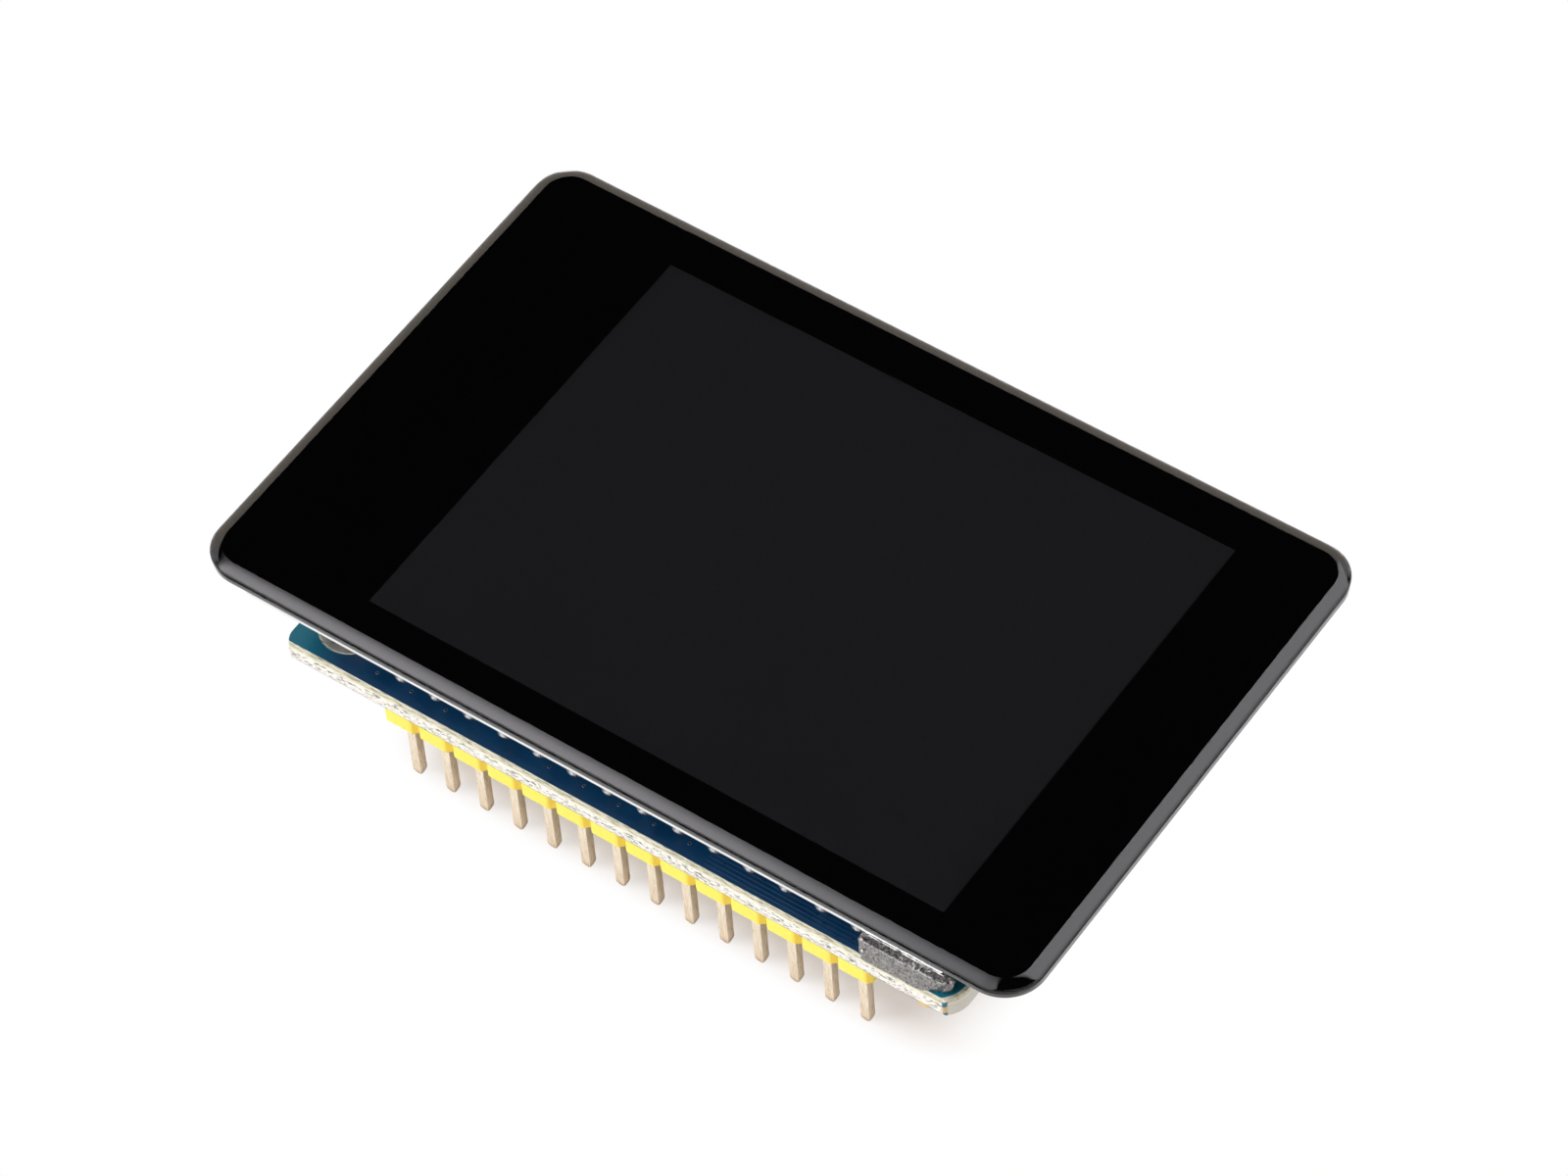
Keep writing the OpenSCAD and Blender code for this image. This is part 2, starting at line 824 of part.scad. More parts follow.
module regulator_chip() {
    color([0.1, 0.1, 0.1])
        under(regulator_x, regulator_y)
            translate([0, 0, 0.08])
                block(regulator_w, regulator_d, regulator_t - 0.08);
}

module regulator_leads() {
    color([0.8, 0.8, 0.8])
        under(regulator_x, regulator_y)
            lead_rows(3, 2, 0.95, regulator_d / 2, 0.4, 0.7, regulator_t / 2);
}

module power_inductor() {
    color([0.25, 0.24, 0.23])
        under(inductor_x, inductor_y)
            translate([0, 0, lead_t])
                plate(inductor_w, inductor_w, inductor_t - lead_t, 0.4);
}

module inductor_ends() {
    color([0.8, 0.79, 0.77])
        under(inductor_x, inductor_y)
            for (side = [-1, 1])
                translate([side * (inductor_w / 2 - 0.4), 0, 0])
                    block(0.7, inductor_w - 0.6, lead_t);
}

// Rows of small two-ended parts beside the controller chip: each is [side, y, count]
capacitor_rows = [[-1, 2.9, 3], [-1, -2.7, 3], [1, -3.2, 4]];
resistor_rows = [[1, -0.9, 4], [-1, 0.1, 4]];
// Rows behind the chip and in front of it: each is [x, y, count]
capacitor_bank = [[-1.6, controller_w / 2 + part_gap, 4]];
resistor_bank = [[1.9, -controller_w / 2 - part_gap, 4]];

// Puts a part at each place in rows that run away from the chip and banks that run along it
module at_rows(rows, banks) {
    for (row = rows, i = [0 : row[2] - 1])
        under(controller_x + row[0] * (controller_w / 2 + part_gap + i * part_pitch), row[1])
            rotate(90)
                children();
    for (bank = banks, i = [0 : bank[2] - 1])
        under(controller_x + bank[0] + i * part_pitch, bank[1])
            rotate(90)
                children();
}

// Middle of a two-ended part
module small_body(l, w, t) {
    block(l * 0.5, w, t);
}

// Tinned ends of a two-ended part
module small_ends(l, w, t) {
    for (side = [-1, 1])
        translate([side * l * 0.375, 0, 0])
            block(l * 0.25, w, t);
}

module capacitor_bodies() {
    color([0.62, 0.47, 0.33])
        at_rows(capacitor_rows, capacitor_bank)
            small_body(capacitor_l, capacitor_w, capacitor_t);
}

module capacitor_ends() {
    color([0.8, 0.79, 0.77])
        at_rows(capacitor_rows, capacitor_bank)
            small_ends(capacitor_l, capacitor_w, capacitor_t);
}

module resistor_bodies() {
    color([0.1, 0.1, 0.1])
        at_rows(resistor_rows, resistor_bank)
            small_body(resistor_l, resistor_w, resistor_t);
}

module resistor_ends() {
    color([0.8, 0.79, 0.77])
        at_rows(resistor_rows, resistor_bank)
            small_ends(resistor_l, resistor_w, resistor_t);
}

cover_glass();
black_border();
touch_sensor();
panel_gasket();
front_polariser();
filter_pane();
transistor_pane();
driver_chip();
rear_polariser();
prism_sheet();
diffuser_sheet();
light_guide();
reflector_sheet();
lamp_strip();
backlight_lamps();
screen_frame();
screen_tray();
screen_tail();
screen_tail_solder();
touch_tail();
touch_tail_solder();
touch_chip();
foam_tape_front();
foam_tape_rear();
circuit_board();
hole_plating();
header_strip_front();
header_strip_rear();
header_pins_front();
header_pins_rear();
header_solder_front();
header_solder_rear();
frame_solder();
socket_base();
socket_ring();
socket_pin();
controller_chip();
controller_contacts_row();
memory_chip();
memory_leads();
crystal_base();
crystal_lid();
regulator_chip();
regulator_leads();
power_inductor();
inductor_ends();
capacitor_bodies();
capacitor_ends();
resistor_bodies();
resistor_ends();
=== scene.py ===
import json
import math

import bmesh
import bpy
from mathutils import Matrix, Vector


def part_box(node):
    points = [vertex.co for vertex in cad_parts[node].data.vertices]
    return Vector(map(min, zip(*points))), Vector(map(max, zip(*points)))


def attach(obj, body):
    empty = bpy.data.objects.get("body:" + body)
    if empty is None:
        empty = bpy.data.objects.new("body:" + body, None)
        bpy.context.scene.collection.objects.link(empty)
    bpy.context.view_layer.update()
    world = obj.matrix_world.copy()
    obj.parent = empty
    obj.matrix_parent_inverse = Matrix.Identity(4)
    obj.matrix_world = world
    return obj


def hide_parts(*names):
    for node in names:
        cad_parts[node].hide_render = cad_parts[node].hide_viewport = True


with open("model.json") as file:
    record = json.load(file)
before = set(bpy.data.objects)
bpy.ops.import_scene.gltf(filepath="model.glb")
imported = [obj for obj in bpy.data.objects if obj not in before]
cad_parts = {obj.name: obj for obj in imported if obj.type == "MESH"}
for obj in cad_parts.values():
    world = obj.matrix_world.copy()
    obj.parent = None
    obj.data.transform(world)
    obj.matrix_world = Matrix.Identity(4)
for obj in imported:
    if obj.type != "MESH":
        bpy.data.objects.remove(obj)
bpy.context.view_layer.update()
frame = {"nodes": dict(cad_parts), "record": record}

bl_info = {
    "name": "Touch Display Board",
    "version": (1, 0, 0),
    "blender": (4, 5, 0),
    "location": "View3D > Sidebar > Display Board",
    "description": "Dresses the solids of a touch display board with its finishes and fine parts",
    "category": "Mesh",
}

MM = 0.001
NEAR = 1e-6  # Metres: what lies this close counts as being in one place
WELD = 1e-7  # Metres: points this close become one where a mesh is cut or spun


# Small helpers: colours, nodes, materials


def linear_rgb(hex_code):
    """Turns an sRGB hex colour into the linear triple that Blender's sockets take."""
    parts = [int(hex_code[i : i + 2], 16) / 255 for i in (1, 3, 5)]
    return tuple(p / 12.92 if p <= 0.04045 else ((p + 0.055) / 1.055) ** 2.4 for p in parts)


def rgba(shade):
    """A hex code or a linear triple, as the four numbers of a colour socket."""
    return (*(linear_rgb(shade) if isinstance(shade, str) else shade), 1.0)


def add_node(tree, kind, sockets=None, stops=None, **settings):
    """Adds one shader node: its settings, its ramp stops, and a value or a link for each socket.

    A link is given as the socket it comes from, or as a node, which stands for its first output.
    """
    made = tree.nodes.new("ShaderNode" + kind)
    for name, value in settings.items():
        setattr(made, name, value)
    for i, (where, shade) in enumerate(stops or ()):
        ramp = made.color_ramp.elements
        stop = ramp[i] if i < len(ramp) else ramp.new(where)
        stop.position, stop.color = where, rgba(shade)
    for key, value in (sockets or {}).items():
        source = value.outputs[0] if isinstance(value, bpy.types.Node) else value
        if isinstance(source, bpy.types.NodeSocket):
            tree.links.new(source, made.inputs[key])
        else:
            made.inputs[key].default_value = source
    return made


def new_finish(name):
    """Starts a material: gives back the material, its empty tree and its Object coordinates."""
    material = bpy.data.materials.new(name)
    material.use_nodes = True
    tree = material.node_tree
    tree.nodes.clear()
    return material, tree, add_node(tree, "TexCoord").outputs["Object"]


def close_finish(material, sockets):
    """Ends a material: its surface, with a value or a link for each socket."""
    surface = add_node(material.node_tree, "BsdfPrincipled", sockets)
    add_node(material.node_tree, "OutputMaterial", {"Surface": surface})
    return material


def per_mm(size):
    """The scale of a noise whose grain is this many millimetres wide."""
    return 1.0 / (size * MM)


def grained(name, dark, light, grain, rough=(0.4, 0.5), relief=0.004, stretch=(1, 1, 1), **shader):
    """A mottled finish: two close colours, uneven gloss and a low relief, all on one grain.

    Grain and relief are in millimetres. Rough is the least and the greatest roughness.
    """
    # Most of a noise lies between these two values
    least, most = 0.3, 0.7
    material, tree, place = new_finish(name)
    place = add_node(tree, "Mapping", {"Vector": place, "Scale": stretch})
    noise = add_node(tree, "TexNoise", {"Vector": place, "Scale": per_mm(grain), "Detail": 4.0})
    tint = add_node(tree, "ValToRGB", {"Fac": noise}, stops=[(least, dark), (most, light)])
    ends = {"From Min": least, "From Max": most, "To Min": rough[0], "To Max": rough[1]}
    gloss = add_node(tree, "MapRange", {"Value": noise, **ends})
    bump = add_node(tree, "Bump", {"Height": noise, "Distance": relief * MM, "Strength": 1.0})
    sockets = {key.replace("_", " "): value for key, value in shader.items()}
    return close_finish(
        material, {"Base Color": tint, "Roughness": gloss, "Normal": bump, **sockets}
    )


# Small helpers: modelling


def corners(node):
    """The two corners of a solid's box."""
    return [Vector(corner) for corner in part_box(node)]


def clear_selection():
    """Leaves edit mode and deselects everything."""
    if bpy.context.object and bpy.context.object.mode != "OBJECT":
        bpy.ops.object.mode_set(mode="OBJECT")
    bpy.ops.object.select_all(action="DESELECT")


def make_active(shape):
    """Leaves edit mode and selects one shape only."""
    clear_selection()
    shape.select_set(True)
    bpy.context.view_layer.objects.active = shape


def edit_new(add, **settings):
    """Adds a primitive, puts its place into its mesh and opens it in edit mode."""
    clear_selection()
    add(**settings)
    bpy.ops.object.transform_apply(location=True, rotation=True, scale=True)
    bpy.ops.object.mode_set(mode="EDIT")
    return bpy.context.object


def edit_block(low, high):
    """A block between two corners, open in edit mode."""
    low, high = Vector(low), Vector(high)
    return edit_new(
        bpy.ops.mesh.primitive_cube_add, size=1, location=(low + high) / 2, scale=high - low
    )


def pick(kind, wanted):
    """Selects, in edit mode, only the verts, edges or faces that pass the test."""
    bpy.ops.mesh.select_all(action="DESELECT")
    bpy.ops.mesh.select_mode(type=kind)
    mesh = bpy.context.object.data
    shape = bmesh.from_edit_mesh(mesh)
    for item in {"VERT": shape.verts, "EDGE": shape.edges, "FACE": shape.faces}[kind]:
        if wanted(item):
            item.select_set(True)
    shape.select_flush_mode()
    bmesh.update_edit_mesh(mesh)


def runs_along(edge, axis):
    """True where an edge runs along one axis."""
    way = edge.verts[1].co - edge.verts[0].co
    return way.length > 0 and abs(way[axis]) > 0.999 * way.length


def upright(edge):
    """True where an edge stands along Z."""
    return runs_along(edge, 2)


def at_level(level, within=NEAR):
    """A test for what lies at one height: a vert, or every vert of an edge or a face."""
    return lambda item: all(abs(v.co.z - level) < within for v in getattr(item, "verts", [item]))


def faces_up(face):
    """True where a face looks up."""
    return face.normal.z > 0.99


def round_edges(wanted, offset, segments=1, **settings):
    """Bevels the edges of the open mesh that pass the test."""
    pick("EDGE", wanted)
    bpy.ops.mesh.bevel(offset=offset, segments=segments, affect="EDGES", **settings)


def extrude_up(height):
    """Draws the picked faces up along Z."""
    bpy.ops.mesh.extrude_region_move(TRANSFORM_OT_translate={"value": (0, 0, height)})


def cut_level(axis, value, outward=0):
    """Bisects the whole open mesh square to an axis; outward, 1 or -1, clears what lies beyond."""
    point, normal = [0, 0, 0], [0, 0, 0]
    point[axis], normal[axis] = value, outward or 1
    bpy.ops.mesh.select_all(action="SELECT")
    bpy.ops.mesh.bisect(
        plane_co=point, plane_no=normal, use_fill=bool(outward), clear_outer=bool(outward),
        threshold=WELD,
    )


def turned(rings, place, sides=32):
    """A round shape drawn up from a disc, ring by ring: each ring is a radius and a height."""
    x, y, z = place
    radius, height = rings[0]
    shape = edit_new(
        bpy.ops.mesh.primitive_circle_add, vertices=sides, radius=radius, fill_type="NGON",
        location=(x, y, z + height),
    )
    for next_radius, next_height in rings[1:]:
        extrude_up(next_height - height)
        grow = next_radius / radius
        bpy.ops.transform.resize(
            value=(grow, grow, 1), center_override=(x, y, z + next_height)
        )
        radius, height = next_radius, next_height
    bpy.ops.mesh.select_all(action="SELECT")
    bpy.ops.mesh.normals_make_consistent(inside=False)
    return shape


def spun(outline, place, steps=64):
    """A ring turned from a closed outline, whose points are a radius and a height."""
    x, y, z = place
    shape = edit_new(
        bpy.ops.mesh.primitive_circle_add, vertices=len(outline), radius=1, fill_type="NOTHING"
    )
    section = bmesh.from_edit_mesh(shape.data)
    for vert, (radius, height) in zip(section.verts, outline):
        vert.co = (x + radius, y, z + height)
    bmesh.update_edit_mesh(shape.data)
    bpy.ops.mesh.spin(steps=steps, angle=2 * math.pi, center=(x, y, z), axis=(0, 0, 1))
    bpy.ops.mesh.select_all(action="SELECT")
    bpy.ops.mesh.remove_doubles(threshold=WELD)
    bpy.ops.mesh.normals_make_consistent(inside=False)
    return shape


def modify(shape, kind, **settings):
    """Adds a modifier and applies it."""
    make_active(shape)
    made = shape.modifiers.new(kind.title(), kind)
    for name, value in settings.items():
        setattr(made, name, value)
    bpy.ops.object.modifier_apply(modifier=made.name)


def cut_away(shape, cutter):
    """Takes one shape out of another, and removes it."""
    clear_selection()
    modify(shape, "BOOLEAN", operation="DIFFERENCE", object=cutter, solver="EXACT")
    bpy.data.objects.remove(cutter)


def roughen(shape, name, grain, depth=2, **settings):
    """Moves a shape's surface in and out by a clouded pattern of one grain and depth."""
    clouds = bpy.data.textures.new(name, "CLOUDS")
    clouds.noise_scale, clouds.noise_depth = grain, depth
    modify(shape, "DISPLACE", texture=clouds, texture_coords="LOCAL", **settings)


def drill(shape, places, radius, low, high, sides=40):
    """Cuts round holes along Z through a shape."""
    bits = []
    for x, y in places:
        clear_selection()
        bpy.ops.mesh.primitive_cylinder_add(
            vertices=sides, radius=radius, depth=high - low, location=(x, y, (low + high) / 2)
        )
        bits.append(bpy.context.object)
    cut_away(shape, joined(bits))


def joined(shapes):
    """Joins several shapes into the first one."""
    clear_selection()
    for shape in shapes:
        shape.select_set(True)
    bpy.context.view_layer.objects.active = shapes[0]
    bpy.ops.object.transform_apply(location=True, rotation=True, scale=True)
    bpy.ops.object.join()
    return shapes[0]


def repeated(shape, steps, turns=None):
    """Puts a copy of a shape, with its own mesh, at every step, and joins the copies."""
    clear_selection()
    copies = []
    for i, step in enumerate(steps):
        twin = shape.copy()
        twin.data = shape.data.copy()
        twin.matrix_world = Matrix.Translation(step) @ (turns[i] if turns else Matrix())
        bpy.context.collection.objects.link(twin)
        copies.append(twin)
    bpy.data.objects.remove(shape)
    return joined(copies)


def settle(shape, name, finish, nodes=(), smooth=35):
    """Names a finished piece, gives it its finish and ties it to the part.

    Faces that meet within the angle given as smooth, in degrees, are shaded as one.
    """
    make_active(shape)
    shape.name = shape.data.name = name
    shape.data.materials.clear()
    shape.data.materials.append(bpy.data.materials[finish])
    bpy.ops.object.shade_smooth_by_angle(angle=math.radians(smooth))
    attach(shape, "root")
    if nodes:
        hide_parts(*nodes)


# Finishes


def cover_glass_finish():
    """Toughened cover glass: polished, colourless, with only the faintest wiping haze."""
    material, tree, place = new_finish("toughened_cover_glass")
    haze = add_node(tree, "TexNoise", {"Vector": place, "Scale": per_mm(6.0), "Detail": 3.0})
    gloss = add_node(tree, "MapRange", {"Value": haze, "To Min": 0.0, "To Max": 0.008})
    glass = {"Base Color": rgba("#FDFDFE"), "Transmission Weight": 1.0, "IOR": 1.58}
    close_finish(material, {**glass, "Roughness": gloss})


def board_edge_finish(board):
    """Glass and epoxy laminate: cream where scored, white with torn dark threads where snapped."""
    material, tree, place = new_finish("scored_glass_epoxy")
    low, high = corners("circuit_board")
    axes = add_node(tree, "SeparateXYZ", {"Vector": place}).outputs
    reach = add_node(tree, "Math", {0: axes["Y"]}, operation="ABSOLUTE")
    # The tear's upper border wanders along the edge
    wander = add_node(tree, "TexNoise", {"Vector": place, "Scale": per_mm(0.5), "Detail": 4.0})
    stray = add_node(tree, "MapRange", {"Value": wander, "To Min": -0.3 * MM, "To Max": 0.3 * MM})
    level = add_node(tree, "Math", {0: axes["Z"], 1: stray}, operation="ADD")
    # Soft borders on the edge: what is measured, from where, none and all in mm, and the most of it
    web, face = high.z - board.score_depth, high.y - board.score_lean
    borders = {
        "below": (level, web, 0.05, -0.1, 1.0),
        "outside": (reach, face, -0.02, 0.02, 1.0),
        # The lip is a painted highlight along the score's lower border
        "lip": (axes["Z"], high.z, -0.33, -0.48, 0.8),
        "routed": (axes["X"], high.x, -0.75, -0.65, 0.75),
        "core": (axes["Z"], high.z, -0.35, -0.6, 1.0),
        "corner": (axes["X"], high.x, -0.9, -0.86, 1.0),
        "beyond": (axes["X"], high.x, -0.6, -0.64, 1.0),
        "front": (axes["Y"], low.y, 0.5, 0.4, 1.0),
        "rise": (axes["Z"], low.z, 0.0, (high.z - low.z) / MM, 1.0),
    }
    share = {}
    for name, (value, start, none, whole, most) in borders.items():
        ends = {"From Min": start + none * MM, "From Max": start + whole * MM}
        share[name] = add_node(tree, "MapRange", {"Value": value, **ends, "To Max": most})
    # The torn web, the core of the routed right end, and the front corner beside it
    for name, first, *others in (
        ("torn", "below", "outside"), ("pale", "routed", "core"),
        ("scrap", "corner", "beyond", "front"),
    ):
        share[name] = share[first]
        for other in others:
            share[name] = add_node(
                tree, "Math", {0: share[name], 1: share[other]}, operation="MULTIPLY"
            )
    # Torn threads lie along the board, 0.3 mm long and 0.08 mm thick
    threads = add_node(tree, "Mapping", {"Vector": place, "Scale": (0.28, 1.0, 1.15)})
    threads = add_node(
        tree, "TexNoise",
        {"Vector": threads, "Scale": per_mm(0.09), "Detail": 2.0, "Roughness": 0.5},
    )
    torn_tint = add_node(
        tree, "ValToRGB", {"Fac": threads},
        stops=[(0.34, "#4A5D5B"), (0.4, "#A1A89A"), (0.45, "#EEF1E4"), (0.58, "#FEFFFA")],
    )
    # Layers of cloth show as fine lines along the scored face, 0.06 mm apart
    layers = add_node(tree, "Mapping", {"Vector": place, "Scale": (0.12, 1.0, 1.3)})
    layers = add_node(
        tree, "TexNoise", {"Vector": layers, "Scale": per_mm(0.075), "Detail": 3.0}
    )
    tint = add_node(
        tree, "ValToRGB", {"Fac": layers},
        stops=[(0.36, "#767860"), (0.44, "#B5B798"), (0.51, "#D5D7BA"), (0.6, board.laminate)],
    )
    # Two scraps of mask with bare resin between them
    mask, resin = board.mask_bare, "#D9BE86"
    scrap_tint = add_node(
        tree, "ValToRGB", {"Fac": share["rise"]},
        stops=[
            (0.2, mask), (0.23, resin), (0.56, resin), (0.59, mask), (0.82, mask),
            (0.85, board.laminate),
        ],
    )
    # The score's lower border gets a painted highlight line in pale cream, and the routed end is a
    # paler grey below its skin
    for name, over in (
        ("lip", rgba("#FFFFE8")), ("torn", torn_tint), ("pale", rgba("#CCCFC9")),
        ("scrap", scrap_tint),
    ):
        tint = add_node(tree, "MixRGB", {"Fac": share[name], "Color1": tint, "Color2": over})
    relief = add_node(tree, "Bump", {"Height": threads, "Distance": 0.03 * MM, "Strength": 0.8})
    close_finish(material, {"Base Color": tint, "Normal": relief, "Roughness": 0.6, "IOR": 1.55})


def solder_mask_finish(board):
    """Blue solder mask: dark over copper, greener and paler where bare laminate shines through."""
    material, tree, place = new_finish("blue_solder_mask")
    low, high = corners("circuit_board")
    along = add_node(tree, "SeparateXYZ", {"Vector": place}).outputs["X"]
    # No copper lies below the two ends
    ends = [
        add_node(
            tree, "MapRange", {"Value": along, "From Min": start, "From Max": end},
            interpolation_type="SMOOTHSTEP",
        )
        for start, end in (
            (low.x + board.bare_left, low.x + 0.4 * MM),
            (high.x - board.bare_right, high.x - 0.6 * board.bare_right),
        )
    ]
    bare = add_node(tree, "Math", {0: ends[0], 1: ends[1]}, operation="MAXIMUM")
    # Cloth and copper below give slow mottling, 1.5 mm across
    mottle = add_node(tree, "TexNoise", {"Vector": place, "Scale": per_mm(1.5), "Detail": 6.0})
    dark, light = rgba("#052C4E"), rgba(board.mask_copper)
    tint = add_node(tree, "MixRGB", {"Fac": mottle, "Color1": dark, "Color2": light})
    tint = add_node(tree, "MixRGB", {"Fac": bare, "Color1": tint, "Color2": rgba(board.mask_bare)})
    gloss = add_node(tree, "MapRange", {"Value": mottle, "To Min": 0.26, "To Max": 0.42})
    skin = add_node(tree, "TexNoise", {"Vector": place, "Scale": per_mm(0.18), "Detail": 2.0})
    relief = add_node(tree, "Bump", {"Height": skin, "Distance": 0.002 * MM, "Strength": 1.0})
    resin = {"IOR": 1.5, "Specular IOR Level": 0.42}
    close_finish(
        material, {"Base Color": tint, "Roughness": gloss, "Normal": relief, **resin}
    )


def tint_over(material, axis, start, end, shade, row=None):
    """Lays a colour over a finish along an axis, none at start and all at end.

    A row gives a first place and a pitch, and the colour comes again with every unit of it.
    """
    tree = material.node_tree
    place = add_node(tree, "TexCoord").outputs["Object"]
    value = add_node(tree, "SeparateXYZ", {"Vector": place}).outputs[axis]
    if row:
        for operation, by in zip(("SUBTRACT", "FLOORED_MODULO"), row):
            value = add_node(tree, "Math", {0: value, 1: by}, operation=operation).outputs[0]
    amount = add_node(tree, "MapRange", {"Value": value, "From Min": start, "From Max": end})
    base = tree.nodes["Principled BSDF"].inputs["Base Color"]
    below = base.links[0].from_socket
    tint = add_node(tree, "MixRGB", {"Fac": amount, "Color1": below, "Color2": rgba(shade)})
    tree.links.new(tint.outputs[0], base)


def strip_finish(header):
    """Yellow moulded nylon: satin, mottled, with a deeper yellow painted on each unit's thin right
    end as shade.
    """
    material = grained(
        "yellow_moulded_nylon", header.strip_shade, header.strip, 0.3, (0.38, 0.5), 0.004
    )
    row = (corners("header_strip_front")[0].x, header.pitch)
    # Painted shade: a deeper yellow on each unit's thin right end, where its right-facing chamfers
    # get less light
    tint_over(material, "X", 0.78 * header.pitch, 0.92 * header.pitch, "#FFE03C", row)


def via_finish(board):
    """Plated via: a bright thin lip, with the bore below it painted dark for the shade inside it.
    """
    material = grained("plated_via", "#8F9296", "#C9CCCF", 0.05, (0.25, 0.4), 0.001, Metallic=0.9)
    top = corners("circuit_board")[1].z + board.mask_t
    # Painted shade: near black below the lip, for the shade down the bore
    tint_over(material, "Z", top + 0.002 * MM, top - 0.01 * MM, "#03060A")


def pin_finish(header):
    """Tin-plated brass wire: dull warm metal, drawn along its length, with painted shade on the
    lower tips.
    """
    material = grained(
        "tin_plated_brass_wire", header.pin_shade, header.pin, 0.12, (0.25, 0.36), 0.0003,
        (1, 1, 0.12), Metallic=0.85,
    )
    # Painted shade: a darker brass colour towards the lower tips, where the tapered faces look down
    # at the shadowed floor
    tint_over(material, "Z", 0.75 * MM, 0.15 * MM, "#BFA67E")


def flex_finish():
    """Polyimide flex: amber film with fine copper tracks faintly below it, 0.3 mm apart."""
    material, tree, place = new_finish("amber_polyimide_flex")
    # A wave's bands repeat every pi / 10 of its own units
    scale = math.pi / 10 * per_mm(0.3)
    wave = add_node(
        tree, "TexWave", {"Vector": place, "Scale": scale, "Distortion": 0.0}, bands_direction="Y"
    )
    lines = wave.outputs["Fac"]
    tint = add_node(tree, "ValToRGB", {"Fac": lines}, stops=[(0.35, "#91551A"), (0.7, "#9F6121")])
    relief = add_node(tree, "Bump", {"Height": lines, "Distance": 0.0005 * MM, "Strength": 1.0})
    close_finish(material, {"Base Color": tint, "Normal": relief, "Roughness": 0.3, "IOR": 1.6})


